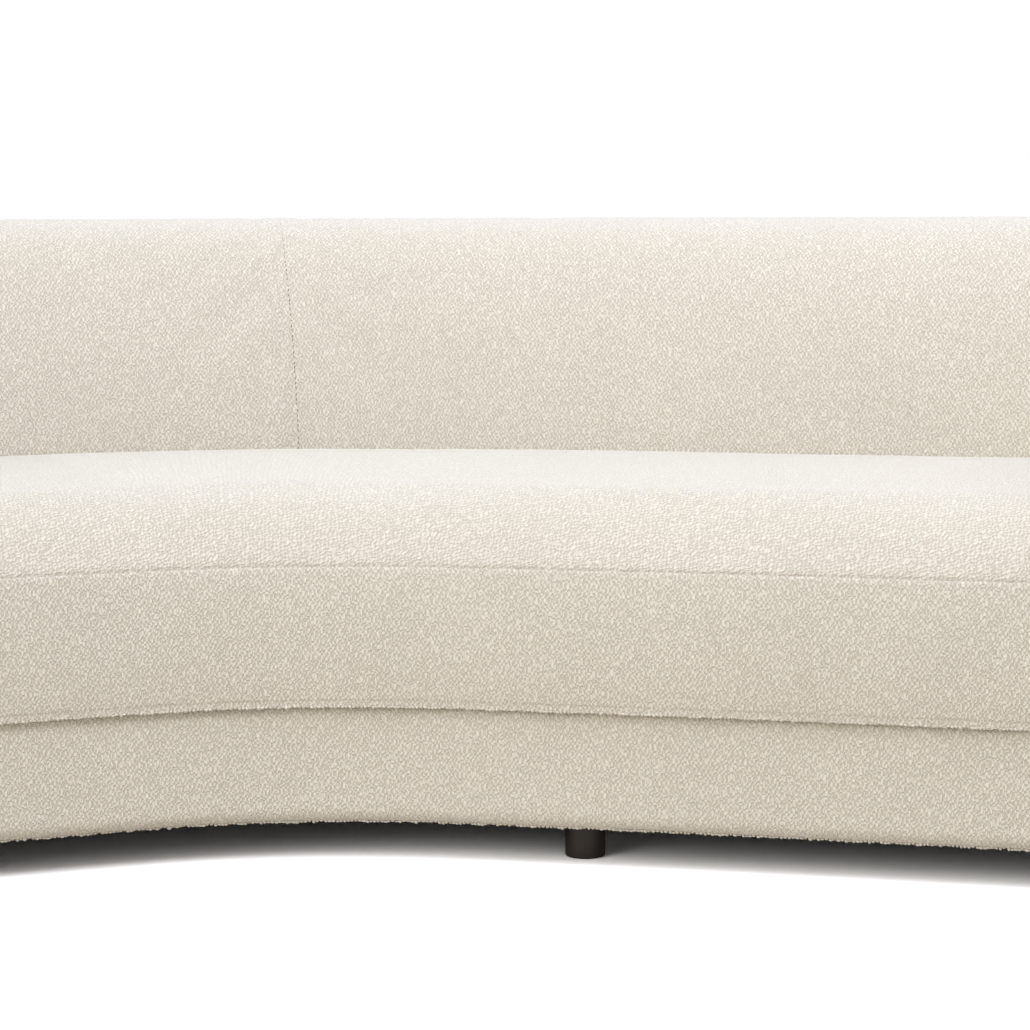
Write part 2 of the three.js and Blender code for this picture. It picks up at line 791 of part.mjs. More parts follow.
function buildSeat() {
  const runs = bothWays(seatRuns());
  addPiece('seat_cover', seatCoverGeometry(runs), materials.cloth);
  const foamSections = runs.map((run) => foamLine(run));
  const foamPoints = runs.map((run, i) => {
    return onRun(shortRun(run, clothThickness + clearance), foamSections[i]);
  });
  addPiece('seat_foam', loft(foamPoints, foamSections[0]), materials.foam);

  const railEnd = seatRailInset + boardThickness;
  const endRail = seatEndRun + boardThickness;
  const frontStations = bothWays([...wingRuns(), endRail]).map(frontStation);
  const front = strip(frontStations, -seatRailInset, -railEnd, bodyFrameBottom, seatRailTop);
  addPiece('seat_front_rail', front, materials.timber);

  const rearEnd = crestDepth - frameInner - clearance;
  const rearStart = rearEnd - boardThickness;
  const rearStations = bothWays(wingRuns()).map(frontStation);
  const rear = strip(rearStations, -rearStart, -rearEnd, bodyFrameBottom, seatRailTop);
  addPiece('seat_rear_rail', rear, materials.timber);
  const sillReach = crestCornerRadius - frameInner;
  const past = endRail - wingRun;
  const endRailRear = cornerDepth + Math.sqrt(sillReach * sillReach - past * past) - squareEndTrim;
  const endOutline = [
    planPoint(seatEndRun, railEnd + clearance),
    planPoint(endRail, railEnd + clearance),
    planPoint(endRail, endRailRear),
    planPoint(seatEndRun, endRailRear),
  ];
  addPair('seat_end_rail', upright(endOutline, bodyFrameBottom, seatRailTop), materials.timber);

  buildWebbing(rearEnd);
  const feltRuns = bothWays([...seatRuns().filter((run) => run < seatEndRun), endRail]);
  const feltOutline = [
    ...feltRuns.map((run) => planPoint(run, seatRailInset)),
    ...feltRuns.map((run) => planPoint(run, seatRear(run))).reverse(),
  ];
  addPiece('seat_felt_pad', upright(feltOutline, feltBottom, feltBottom + feltThickness), materials.felt);
}

function frontStation(run) {
  const { place, back } = frontAt(run);
  return station(place, back);
}

// Foam under the cover, with a lip in front of the seat's front rail
function foamLine(run) {
  const cover = offsetLine(seatLine(run), -clothThickness - clearance, false).slice(rollEndIndex);
  const bottom = bodyFrameBottom + rollRadius;
  const front = cover[0].x;
  const rear = cover[cover.length - 1].x;
  const lipEnd = seatRailInset - clearance;
  cover[0].y = bottom;
  return [
    ...cover,
    new THREE.Vector2(rear, foamBottom),
    new THREE.Vector2(lipEnd, foamBottom),
    new THREE.Vector2(lipEnd, bodyFrameBottom),
    new THREE.Vector2(front + rollRadius, bodyFrameBottom),
  ];
}

function buildWebbing(rearEnd) {
  evenly(1 - webbingCount, webbingCount - 1, webbingCount - 1).forEach((step, i) => {
    const run = webbingPitch * step / 2;
    const { back } = frontAt(run);
    const middle = planPoint(run, between(seatRailInset, rearEnd, 1 / 2));
    const length = rearEnd - seatRailInset - 2 * clearance;
    const geometry = new THREE.BoxGeometry(webbingWidth, length, webbingThickness);
    const strap = addPiece(`seat_webbing_${i + 1}`, geometry, materials.webbing);
    strap.position.set(middle.x, middle.y, webbingBottom + webbingThickness / 2);
    strap.rotation.z = -Math.atan2(back.x, back.y);
  });
}

// Back and arms

function buildBackFrame() {
  const right = crestStations();
  const line = [...mirrored(right).reverse(), ...right];
  addPiece('back_sill', strip(line, -sillOuter, frameInner, bodyFrameBottom, sillTop), materials.timber);
  const topRail = strip(line, -frameTopHalf, frameTopHalf, topRailBottom, topRailHeight);
  addPiece('top_rail', topRail, materials.timber);
  const boardStart = frameOuter + clearance;
  const boardEnd = boardStart + outsideBoardThickness;
  const board = strip(line, -boardStart, -boardEnd, bodyBottom + rollRadius, boardTop);
  addPiece('outside_back_board', board, materials.board);

  evenly(1 - ribCount, ribCount - 1, ribCount - 1).forEach((step, i) => {
    const run = ribPitch * step / 2;
    const rib = ribAt(planPoint(run, crestDepth), frontAt(run).back);
    addPiece(`back_rib_${i + 1}`, rib, materials.timber);
  });
  const postDepth = noseDepth + ribThickness / 2 + clearance;
  addPair('arm_post', ribAt(planPoint(armRun, postDepth), wingAlong), materials.timber);
}

function ribAt(place, out) {
  return ribGeometry().rotateZ(-Math.atan2(out.x, out.y)).translate(place.x, place.y, 0);
}

// An upright plate across the back, cut out in the middle, on the plane of its own place
function ribGeometry() {
  const bottom = sillTop + clearance;
  const top = topRailBottom - clearance;
  const shoulder = rearSeamHeight - ribShoulderDrop;
  const outside = frameOuter - clearance;
  const wall = ribOpeningWall;
  const outline = new THREE.Shape([
    new THREE.Vector2(-frameInner, bottom),
    new THREE.Vector2(outside, bottom),
    new THREE.Vector2(outside, shoulder),
    new THREE.Vector2(frameTopHalf, top),
    new THREE.Vector2(-frameTopHalf, top),
    new THREE.Vector2(-frameInner, seatLineHeight),
  ]);
  const low = bottom + wall + ribOpeningRadius;
  const high = shoulder - wall - ribOpeningRadius;
  const inner = wall + ribOpeningRadius - frameInner;
  const outer = outside - wall - ribOpeningRadius;
  const opening = new THREE.Path();
  opening.absarc(outer, low, ribOpeningRadius, 0, -Math.PI / 2, true);
  opening.absarc(inner, low, ribOpeningRadius, -Math.PI / 2, -Math.PI, true);
  opening.absarc(inner, high, ribOpeningRadius, Math.PI, Math.PI / 2, true);
  opening.absarc(outer, high, ribOpeningRadius, Math.PI / 2, 0, true);
  outline.holes = [opening];
  const geometry = new THREE.ExtrudeGeometry(outline, {
    depth: ribThickness,
    bevelEnabled: false,
    curveSegments: openingCornerSteps,
  });
  geometry.translate(0, 0, -ribThickness / 2);
  return geometry.rotateX(Math.PI / 2).rotateZ(Math.PI / 2);
}

function buildBackCovers() {
  const stations = crestStations();
  const innerOf = (s) => layer(innerHalf(s.tuck), s.pull, s.pull + clothThickness);
  const outerOf = (s) => layer(roundedHalf(rearThickness, bodyBottom), s.pull, s.pull + clothThickness);
  const front = layer(roundedHalf(noseReach, bodyBottom), 0, clothThickness);
  const inside = shellGeometry(stations, innerOf, outerOf, front, rearSeamIndex);
  addPair('inside_back_cover', inside, materials.cloth);

  const outside = new Sheet();
  const last = stations[stations.length - 1];
  const short = { ...last, place: last.place.clone().addScaledVector(wingBack, 2 * seamOpening) };
  const right = [...stations.slice(0, -1), short];
  outside.grid([...mirrored(right).reverse(), ...right].map((s) => {
    const pairs = layer(roundedHalf(rearThickness, bodyBottom), 0, clothThickness)
      .slice(0, rearSeamIndex + 1);
    return pairs.map((pair, k) => bothSides((face) => {
      const lower = k === rearSeamIndex ? 2 * seamOpening : 0;
      return raised(s.place, s.out, pair[face].x, pair[face].y - lower);
    }));
  }));
  addPiece('outside_back_cover', outside.geometry(), materials.cloth);
}

// Foam between the covers and the back's frame: it follows the frame's side, and then its top rail
function foamLayer(line, frameWidth, topWidth) {
  const skin = offsetLine(line, clothThickness + clearance, true).slice(rollEndIndex);
  const last = skin.length - 1;
  const firstHigh = skin.findIndex((p) => p.y > topRailBottom);
  return skin.map((outer, i) => {
    const share = (last - i) / (last - firstHigh);
    const overRail = new THREE.Vector2(topWidth * share, topRailHeight + clearance);
    return { outer, inner: i < firstHigh ? new THREE.Vector2(frameWidth, outer.y) : overRail };
  });
}

function buildBackFoam() {
  const top = frameTopHalf + clearance;
  const rounded = (width) => roundedHalf(width, bodyBottom);
  const innerOf = (s) => {
    return foamLayer(offsetLine(innerHalf(s.tuck), s.pull, true), frameInner + clearance, top);
  };
  const outerOf = (s) => {
    return foamLayer(offsetLine(rounded(rearThickness), s.pull, true), frameOuter + clearance, top);
  };
  const front = foamLayer(rounded(noseReach), clearance, clearance);
  const geometry = shellGeometry(crestStations(), innerOf, outerOf, front, rearSeamIndex - rollEndIndex);
  addPair('back_foam', geometry, materials.foam);
}

buildBase();
buildLegs();
buildSeat();
buildBackFrame();
buildBackCovers();
buildBackFoam();

// The origin lies on the floor under the middle of the sofa's bounds.
const bounds = new THREE.Box3().setFromObject(sofa);
const middle = bounds.getCenter(new THREE.Vector3());
sofa.children.forEach((piece) => {
  piece.position.y -= middle.y;
});

export default sofa;
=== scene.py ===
import json
import math

import bmesh
import bpy
from bpy.props import FloatProperty, FloatVectorProperty, PointerProperty
from mathutils import Euler, Matrix, Vector, noise


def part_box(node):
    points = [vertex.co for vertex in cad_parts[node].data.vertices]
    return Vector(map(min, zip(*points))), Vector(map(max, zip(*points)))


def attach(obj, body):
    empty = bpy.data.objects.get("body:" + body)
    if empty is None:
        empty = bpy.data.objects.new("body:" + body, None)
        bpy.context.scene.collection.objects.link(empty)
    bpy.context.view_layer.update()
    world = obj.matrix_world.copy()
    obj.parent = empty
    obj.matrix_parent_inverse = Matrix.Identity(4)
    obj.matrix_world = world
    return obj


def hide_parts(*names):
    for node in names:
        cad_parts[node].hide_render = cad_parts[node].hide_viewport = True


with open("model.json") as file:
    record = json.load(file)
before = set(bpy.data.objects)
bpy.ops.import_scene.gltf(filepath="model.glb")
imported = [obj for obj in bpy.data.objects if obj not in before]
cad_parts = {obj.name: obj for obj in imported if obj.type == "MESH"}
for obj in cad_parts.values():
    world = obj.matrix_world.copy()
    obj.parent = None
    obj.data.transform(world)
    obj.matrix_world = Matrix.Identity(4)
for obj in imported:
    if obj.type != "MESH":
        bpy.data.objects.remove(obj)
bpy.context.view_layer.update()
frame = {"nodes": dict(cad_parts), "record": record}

bl_info = {
    "name": "Curved Sofa",
    "version": (1, 0, 0),
    "blender": (4, 5, 0),
    "location": "View3D > Sidebar > Sofa",
    "description": "Upholsters and finishes a long curved sofa on its packed frame",
    "category": "Object",
}

# All lengths are metres. A place in plan is a run along the base's front face, from its middle,
# and a depth square to it.

# Plan of that face: a bend in the middle and two almost straight wings
BEND_RADIUS = 0.716
BEND_HALF_ANGLE = math.radians(16.3)
BEND_RUN = BEND_RADIUS * BEND_HALF_ANGLE
WING_RADIUS = 14.0
WING_RUN = 0.885

# Heights
LEG_HEIGHT = 0.050
BASE_TOP = 0.190
BODY_BOTTOM = 0.1945
SEAM_HEIGHT = 0.368
SEAT_LINE_HEIGHT = 0.463
BACK_HEIGHT = 0.787

# Seat: how far its covers stand out and how they round
SEAT_DEPTH = 0.556
SEAT_OVERHANG = 0.008
SEAT_END_REACH = 0.1185
WATERFALL_REACH = 0.118
WATERFALL_START = math.radians(24)
WATERFALL_TOP = 0.458
CROWN_HEIGHT = 0.469
BAND_BULGE = 0.003
SEAT_EDGE_RADIUS = 0.015
SEAT_TUCK = 0.060
SEAT_END_WALL = 0.2

# The band's lower edge: a point of its flange, a faint fold over it as (depth past the face,
# height), and where the bulge starts
BAND_FLANGE_POINT = 0.012
BAND_FOLD = ((0, 0.2030), (-0.0003, 0.2042), (-0.0011, 0.2052), (-0.0007, 0.2064))
BAND_LOW = 0.2085

# The seat's front seam: rows close under it as shares of the band and over it as turns of the
# waterfall, how deep the rows near it lie, and how that wavers along it
ROWS_UNDER_SEAM = (0.983, 0.993)
ROWS_OVER_SEAM = (0.014, 0.034)
SEAM_DIPS = {-2: 0.15, -1: 0.45, 0: 1, 1: 0.4, 2: 0.12}
PUCKERS_PER_METRE = 40
PUCKER_SHARE = 0.5

# Back and arms, in from the crest line unless they say otherwise
BACK_SETBACK = 0.180
CREST_DEPTH = SEAT_DEPTH + BACK_SETBACK
CREST_CORNER_RADIUS = 0.120 + BACK_SETBACK
CORNER_DEPTH = CREST_DEPTH - CREST_CORNER_RADIUS
ARM_RUN = WING_RUN + CREST_CORNER_RADIUS
REAR_THICKNESS = 0.072
NOSE_REACH = 0.090
NOSE_DEPTH = NOSE_REACH - SEAT_OVERHANG
NOSE_EXPONENT = 3
BACK_TUCK_HEIGHT = 0.300
ARM_TUCK_HEIGHT = 0.200
REAR_SEAM_HEIGHT = BACK_HEIGHT - 0.080
# Curve of the inside of the back, from the seat's line over to the crest: (width in, height)
INNER_ROLL = ((0.180, 0.460), (0.168, 0.645), (0.145, 0.787), (0.0, 0.787))

# Base and trim
BASE_REAR = CREST_DEPTH + REAR_THICKNESS - SEAT_OVERHANG
BASE_SIDE = ARM_RUN + REAR_THICKNESS - SEAT_OVERHANG
BASE_CORNER_RADIUS = 0.075
BASE_TOP_FLANGE = 0.026
BASE_BOTTOM_FLANGE = 0.034
ROLL_RADIUS = 0.016
GROOVE_ROLL = 0.004
LEG_EDGE = 0.0025
FOOT_REACH = 0.8
LEG_TOP_EDGE = 0.001
BASE_RISE = 0.004
BASE_SHOULDER = (0.005, 0.022)
CLOTH_THICKNESS = 0.003
COVER_FLANGE = 0.020

# Mesh: pitch of the rows, steps round a nose and along an arm, the point of a row where a cover's
# lengths are measured (the inside back's counts down from the crest), and the piping's first
SEAT_PITCH = 0.011
CLOTH_PITCH = 0.012
NOSE_STEPS = 40
ARM_STEPS = 28
BASE_MEASURE = 10
OUTSIDE_MEASURE = 20
INSIDE_MEASURE = 12
PIPING_START = 7

# The back's upright seam: runs beside it, where the plain runs begin again, its place at the
# seat and its bow as shares of its lean, how far the cloth leans with it, its dip at the crest,
# and the width over which the dip turns there
RUNS_BY_SEAM = (0.0, 0.0015, 0.0045, 0.0085, 0.015, 0.024)
SEAM_CLEAR = 0.03
SEAM_FOOT = 0.43
SEAM_BOW = 0.6
LEAN_REACH = 0.15
CREST_DIP_SHARE = 0.4
DIP_FADE = 0.05

# Swell of the padding: slow and quick waves per metre, the quick ones' share, what stays calm
# and fades beside the back's seam, how uneven the base and the outside are next to the seat, and
# the pressure under the sewn covers
SLOW_WAVES = 4.5
QUICK_WAVES = 21
QUICK_SHARE = 0.35
CALM_REACH = 0.012
BACK_CALM_FADE = 0.06
BASE_UNEVENNESS = 0.7
OUTSIDE_UNEVENNESS = 0.5
COVER_MASS = 0.4
PADDING_PRESSURE = 4
SWELL_STEPS = 4
SWELL_FRAMES = 20

# Rows and rings of a cover that its seams hold while the padding pushes
SEAT_HELD = {"edge": 11, "rear": 4, "seam": 3, "end": 3}
BACK_HELD = {"middle": 2, "tuck": 12, "seam": 3, "nose_edge": 8, "nose_end": 2}

# Loose loops of yarn along the lower edges: pitch in lengths of a loop, how far in from the face
# and up they stand, half their size (the first in pitches), how much this, their lift and their
# steps stray, how fast that changes from loop to loop, and its seed
LOOP_PITCH = 0.55
BAND_LOOP_INSET = 0.0024
BAND_LOOP_RISE = 0.0013
BASE_LOOP_INSET = 0.013
LOOP_HALF_SIZE = (0.6, 0.004, 0.0023)
LENGTH_STRAY = 0.3
HEIGHT_STRAY = 0.8
LIFT_STRAY = 0.0017
LOOP_STEP = 0.95
STEP_STRAY = 0.35
STRAY_CHANGE = 900
LOOP_SEED = 5

# Stitches of the back's seam: half a stitch in pitches, its radius, the heights between which it
# sinks and how much, the place of the half section where they start, and what stays bare at the
# seam's ends
STITCH_HALF = 0.3
STITCH_RADIUS = 0.0006
SEAM_FADE = (0.68, 0.78)
STITCH_SINK = 0.85
STITCHES_FROM = 4.9
STITCH_START = 0.004
STITCH_END = 0.006

# Cloth: how far its loops stray across and along, in loop widths, and what its relief is made of
# The relief also sets the colour: its low places take the hollows' darker colour, which is painted
# shade
STRAY = (2.3, 6.4)
NUB_SHARE = 0.5
YARN_SHARE = 0.35
BUNCH_SHARE = 0.15

# Colours that no setting holds
THREAD_COLOUR = (0.15, 0.11, 0.065)
BOARD_COLOUR = (0.36, 0.25, 0.15)
# Near black for the groove's spacer: painted shade deep in the groove
BATTEN_SHADE_COLOUR = (0.045, 0.037, 0.03)
WEBBING_COLOUR = (0.03, 0.027, 0.024)
FELT_COLOUR = (0.30, 0.29, 0.28)
DUST_CLOTH_COLOUR = (0.012, 0.012, 0.012)
STEEL_COLOUR = (0.56, 0.57, 0.58)
FLOOR_COLOUR = (0.64, 0.585, 0.50)

# The solids' own place for the middle of the base's front face
FRONT_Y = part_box("outside_back_cover")[1][1] - CREST_DEPTH - REAR_THICKNESS

# Camera, as the photograph's edges give it: place from the middle of the base's front face
CAMERA_PLACE = (-0.0125, -3.407, 0.8039)
CAMERA_YAW = 0.0822
CAMERA_PITCH = 0.1097
CAMERA_ROLL = -0.003
CAMERA_LENS = 98.51
SENSOR_WIDTH = 36
CAMERA_SIGHT = 100

FLOOR_HALF = 30

# Lamps: colour, place, what they face, and their two sides
LAMPS = {
    "top": ((0.905, 0.91, 1.0), (0.6, -1.3, 3.0), (0.2, 0.1, 0.4), 4.6, 2.6),
    "rear": ((0.97, 0.95, 1.0), (0.0, 2.2, 2.6), (0, 0.2, 0.6), 5.0, 1.6),
    "front": ((1.0, 0.98, 0.935), (-7.0, -6.0, 4.0), (0, 0, 0.35), 5.0, 4.0),
}


def setting(name, description, span, default, unit='LENGTH'):
    return FloatProperty(name=name, description=description, unit=unit, min=span[0], max=span[1],
                         default=default)


def colour_setting(name, description, default):
    return FloatVectorProperty(name=name, description=description, subtype='COLOR', size=3,
                               min=0, max=1, default=default)


class SofaClothSettings(bpy.types.PropertyGroup):
    """The looped-yarn cloth and the padding under it"""

    yarn_colour: colour_setting("Yarn", "Colour of the tops of the loops", (0.85, 0.808, 0.717))
    # The hollows' colour is painted shade, the darkening that falls between the loops
    hollow_shade_colour: colour_setting("Hollows", "Colour between the loops", (0.52, 0.475, 0.385))
    loop_width: setting(
        "Loop width", "Distance between the columns of loops", (0.002, 0.02), 0.0028)
    loop_length: setting(
        "Loop length", "Distance from loop to loop along a column", (0.002, 0.02), 0.0090)
    loop_height: setting(
        "Loop height", "How far a loop stands up from the hollows", (0, 0.01), 0.0020)
    bias: setting(
        "Bias", "How far the cloth of the seat's top is turned on the bias", (0, 1.6),
        math.radians(35), unit='ROTATION')
    puff: setting("Puff", "How far the padding may push a panel out", (0, 0.02), 0.003)
    unevenness: setting("Unevenness", "Height of the slow waves in the padding", (0, 0.01), 0.0012)


class SofaSeamSettings(bpy.types.PropertyGroup):
    """The sewn seams"""

    back_seam_lean: setting(
        "Back seam lean", "How far the top of the back's seam leans to the left", (0, 0.05), 0.012)
    back_seam_dip: setting("Back seam dip", "How deep the back's seam lies", (0, 0.01), 0.003)
    seat_seam_dip: setting(
        "Seat seam dip", "How deep the seat's front seam lies", (0, 0.01), 0.0025)
    stitch_pitch: setting("Stitch pitch", "Distance from stitch to stitch", (0.003, 0.02), 0.0075)
    piping_radius: setting(
        "Piping radius", "Radius of the piping round the rear panel", (0.001, 0.01), 0.003)


class SofaWoodSettings(bpy.types.PropertyGroup):
    """Legs and timber"""

    leg_colour: colour_setting("Legs", "Colour of the stained legs", (0.020, 0.015, 0.013))
    timber_colour: colour_setting("Timber", "Colour of the bare frame timber", (0.60, 0.43, 0.26))


class SofaStageSettings(bpy.types.PropertyGroup):
    """Floor and light"""

    room_light: setting("Room light", "Even light from all round", (0, 3), 0.53, unit='NONE')
    top_light: setting("Top light", "Power of the large lamp overhead", (0, 2000), 84, unit='POWER')
    rear_light: setting(
        "Rear light", "Power of the long lamp above the rear", (0, 2000), 38, unit='POWER')
    front_light: setting(
        "Front light", "Power of the large lamp in front", (0, 2000), 305, unit='POWER')
    floor_lift: setting(
        "Floor lift", "How bright the floor looks to the camera", (0.5, 4), 2.1, unit='NONE')


# Plan


def mix(start, stop, share):
    return start + (stop - start) * share


def evenly(start, stop, steps):
    return [mix(start, stop, i / steps) for i in range(steps + 1)]


def quarter_turn(steps):
    return evenly(0, math.pi / 2, steps)


def swing(start, stop, turn):
    """The way that stands at a turn between two square ways."""
    return start * math.cos(turn) + stop * math.sin(turn)


def front_at(run):
    """The base's front face at a run: its place, and the way to the back there."""
    reach = abs(run)
    side = -1 if run < 0 else 1
    bend = min(reach, BEND_RUN) / BEND_RADIUS
    turn = bend + max(0, min(reach, WING_RUN) - BEND_RUN) / WING_RADIUS
    straight = max(0, reach - WING_RUN)
    along = BEND_RADIUS * math.sin(bend) + WING_RADIUS * (math.sin(turn) - math.sin(bend))
    ahead = BEND_RADIUS * (1 - math.cos(bend)) + WING_RADIUS * (math.cos(bend) - math.cos(turn))
    place = Vector((side * (along + straight * math.cos(turn)),
                    FRONT_Y - ahead - straight * math.sin(turn)))
    return place, Vector((side * math.sin(turn), math.cos(turn)))


def plan_point(run, depth):
    place, back = front_at(run)
    return place + back * depth


def raised(place, out, width, height):
    return Vector((place.x + out.x * width, place.y + out.y * width, height))


def arm_frame(side):
    """The way along a wing's end to its arm, the way to the back, and the rear corner's centre."""
    place, back = front_at(side * WING_RUN)
    along = Vector((back.y, -back.x)) * side
    return along, back, place + back * CORNER_DEPTH


def wing_runs(pitch):
    """Runs from the middle to a wing's end."""
    bend = evenly(0, BEND_RUN, round(BEND_RUN / pitch))
    return bend + evenly(BEND_RUN, WING_RUN, round((WING_RUN - BEND_RUN) / pitch))[1:]


# Sheets of cloth


def lengths_along(points):
    total = [0.0]
    for a, b in zip(points, points[1:]):
        total.append(total[-1] + (b - a).length)
    return total


def sheet_mesh(bm, rows, reaches, level=0, turns=None):
    """A grid drawn out over the rows. Its map is the cloth's own lengths, turned strip by strip.

    A reach is how far along the cloth a row stands, or a list of it for each point of the row.
    Heights up the cloth count from the point numbered level. Returns each vertex's place in the
    grid, as (row, point).
    """
    weave = bm.loops.layers.uv.get("Weave") or bm.loops.layers.uv.new("Weave")
    across, along = len(rows[0]) - 1, len(rows) - 1
    made = bmesh.ops.create_grid(bm, x_segments=across, y_segments=along, size=1)["verts"]
    spot = {}
    for vert in made:
        k = round((vert.co.x + 1) / 2 * across)
        i = round((vert.co.y + 1) / 2 * along)
        spot[vert] = (i, k)
        vert.co = rows[i][k]
    heights = [lengths_along(row) for row in rows]
    for face in {face for vert in made for face in vert.link_faces}:
        turn = turns[min(spot[vert][1] for vert in face.verts)] if turns else 0.0
        for loop in face.loops:
            i, k = spot[loop.vert]
            u = reaches[i][k] if isinstance(reaches[i], list) else reaches[i]
            v = heights[i][k] - heights[i][level]
            loop[weave].uv = (u * math.cos(turn) - v * math.sin(turn),
                              u * math.sin(turn) + v * math.cos(turn))
    return spot


def face_outwards(bm, inside):
    """Turns every face of a sheet the same way, away from a point inside: (x, depth, height)."""
    x, depth, height = inside
    centre = Vector((x, FRONT_Y + depth, height))
    bmesh.ops.recalc_face_normals(bm, faces=bm.faces)
    lean = sum((face.calc_center_median() - centre).dot(face.normal) * face.calc_area()
               for face in bm.faces)
    if lean < 0:
        bmesh.ops.reverse_faces(bm, faces=bm.faces)


def pad_unevenly(bm, amount, seam_reach=0):
    """Slow waves in the padding, as hand-laid wadding has. They die out at a seam in the middle."""
    bm.normal_update()
    for vert in bm.verts:
        wave = (noise.noise(vert.co * SLOW_WAVES)
                + QUICK_SHARE * noise.noise(vert.co * QUICK_WAVES))
        calm = min(1, max(0, abs(vert.co.x) - CALM_REACH) / seam_reach) if seam_reach else 1
        vert.co += vert.normal * amount * wave * calm


def put_in_scene(name, data):
    made = bpy.data.objects.new(name, data)
    bpy.context.scene.collection.objects.link(made)
    return made


def smooth_piece(name, mesh, material):
    mesh.materials.append(material)
    mesh.shade_smooth()
    return put_in_scene(name, mesh)


def piece_from(bm, name, material):
    """A smooth piece of the mesh, with its open edges crisp."""
    for edge in bm.edges:
        edge.smooth = not edge.is_boundary
    mesh = bpy.data.meshes.new(name)
    bm.to_mesh(mesh)
    bm.free()
    return smooth_piece(name, mesh, material)


def weld(bm, distance=0.0001):
    bmesh.ops.remove_doubles(bm, verts=bm.verts, dist=distance)


def puff_out(piece, held, cap):
    """Lets pressure from the padding push a cover out between its seams, as far as the cap."""
    group = piece.vertex_groups.new(name="held")
    group.add(held, 1.0, 'REPLACE')
    cloth = piece.modifiers.new("Padding", 'CLOTH')
    cloth.settings.quality = SWELL_STEPS
    cloth.settings.mass = COVER_MASS
    cloth.settings.use_pressure = True
    cloth.settings.uniform_pressure_force = PADDING_PRESSURE
    cloth.settings.effector_weights.gravity = 0
    cloth.settings.vertex_group_mass = group.name
    cloth.point_cache.frame_start = 1
    cloth.point_cache.frame_end = SWELL_FRAMES
    for number in range(1, SWELL_FRAMES + 1):
        bpy.context.scene.frame_set(number)
    shaped = piece.evaluated_get(bpy.context.evaluated_depsgraph_get()).to_mesh()
    shifts = [after.co - before.co for before, after in zip(piece.data.vertices, shaped.vertices)]
    piece.modifiers.remove(cloth)
    piece.vertex_groups.remove(group)
    bpy.context.scene.frame_set(1)
    for vert, shift in zip(piece.data.vertices, shifts):
        if shift.length > 0:
            vert.co += shift * (cap * math.tanh(shift.length / cap) / shift.length)


def finish_piece(piece, *nodes):
    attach(piece, "root")
    if nodes:
        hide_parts(*nodes)


def upholster(context, bm, name, nodes, inside, unevenness=1, calm_fade=0, held=()):
    """A cover of looped cloth on uneven padding, swollen between the vertices its seams hold."""
    cloth = context.scene.sofa_cloth
    face_outwards(bm, inside)
    pad_unevenly(bm, cloth.unevenness * unevenness, calm_fade)
    piece = piece_from(bm, name, boucle_material(context))
    if held:
        puff_out(piece, held, cloth.puff)
    shell = piece.modifiers.new("Cloth thickness", 'SOLIDIFY')
    shell.thickness = CLOTH_THICKNESS
    shell.offset = -1
    finish_piece(piece, *nodes)
    return piece


# Seat


def seat_rear(run):
    past = max(0, abs(run) - WING_RUN)
    return CORNER_DEPTH + math.sqrt(max(0, SEAT_END_REACH ** 2 - past ** 2))


def end_drop(run):
    """How far the seat's top turns down beside an arm."""
    left = max(0, SEAT_EDGE_RADIUS - (WING_RUN + SEAT_END_REACH - abs(run)))
    return SEAT_EDGE_RADIUS - math.sqrt(SEAT_EDGE_RADIUS ** 2 - left ** 2)


def roll_under(front, bottom, radius, steps):
    """A cover's rounded lower edge, from under it to its face."""
    return [(front + radius * (1 - math.sin(turn)), bottom + radius * (1 - math.cos(turn)))
            for turn in quarter_turn(steps)]


def seat_section(run, seam_dip):
    """The seat's cover over one run, as (depth, height), and where its front seam lies in it."""
    front = -SEAT_OVERHANG
    rise = (WATERFALL_TOP - SEAM_HEIGHT) / (1 - math.sin(WATERFALL_START))

    def waterfall(turn):
        reach = WATERFALL_REACH * (1 - math.cos(turn) / math.cos(WATERFALL_START))
        return front + reach, SEAM_HEIGHT + rise * (math.sin(turn) - math.sin(WATERFALL_START))

    line = [(front + COVER_FLANGE, BODY_BOTTOM), (front + BAND_FLANGE_POINT, BODY_BOTTOM)]
    line += roll_under(front, BODY_BOTTOM, GROOVE_ROLL, 5)
    line += [(front + past, height) for past, height in BAND_FOLD]
    for share in [*evenly(0, 1, 20)[:-1], *ROWS_UNDER_SEAM]:
        height = mix(BAND_LOW, SEAM_HEIGHT, share)
        level = (height - BODY_BOTTOM) / (SEAM_HEIGHT - BODY_BOTTOM)
        line.append((front - BAND_BULGE * 4 * level * (1 - level), height))
    seam = len(line)
    turns = [WATERFALL_START, *(WATERFALL_START + past for past in ROWS_OVER_SEAM)]
    turns += evenly(WATERFALL_START, math.pi / 2, 20)[2:]
    line += [waterfall(turn) for turn in turns]
    crown_start, crown_end = line[-1][0], seat_rear(run) - SEAT_EDGE_RADIUS
    lift = CROWN_HEIGHT - (WATERFALL_TOP + SEAT_LINE_HEIGHT) / 2
    for share in evenly(0, 1, 30)[1:]:
        height = mix(WATERFALL_TOP, SEAT_LINE_HEIGHT, share) + lift * 4 * share * (1 - share)
        line.append((mix(crown_start, crown_end, share), height - end_drop(run)))
    for turn in quarter_turn(5)[1:]:
        line.append((crown_end + SEAT_EDGE_RADIUS * math.sin(turn),
                     SEAT_LINE_HEIGHT - SEAT_EDGE_RADIUS * (1 - math.cos(turn)) - end_drop(run)))
    line += [(seat_rear(run), SEAT_LINE_HEIGHT - SEAT_TUCK * share) for share in (0.5, 0.75, 1)]
    dip = seam_dip * (1 + PUCKER_SHARE * noise.noise((run * PUCKERS_PER_METRE, 0, 0)))
    return [(x + dip * SEAM_DIPS.get(k - seam, 0), z) for k, (x, z) in enumerate(line)], seam


def seat_runs():
    corner = [WING_RUN + SEAT_END_REACH * math.sin(turn) for turn in quarter_turn(16)[1:]]
    half = wing_runs(SEAT_PITCH) + corner
    return [-run for run in reversed(half[1:])] + half


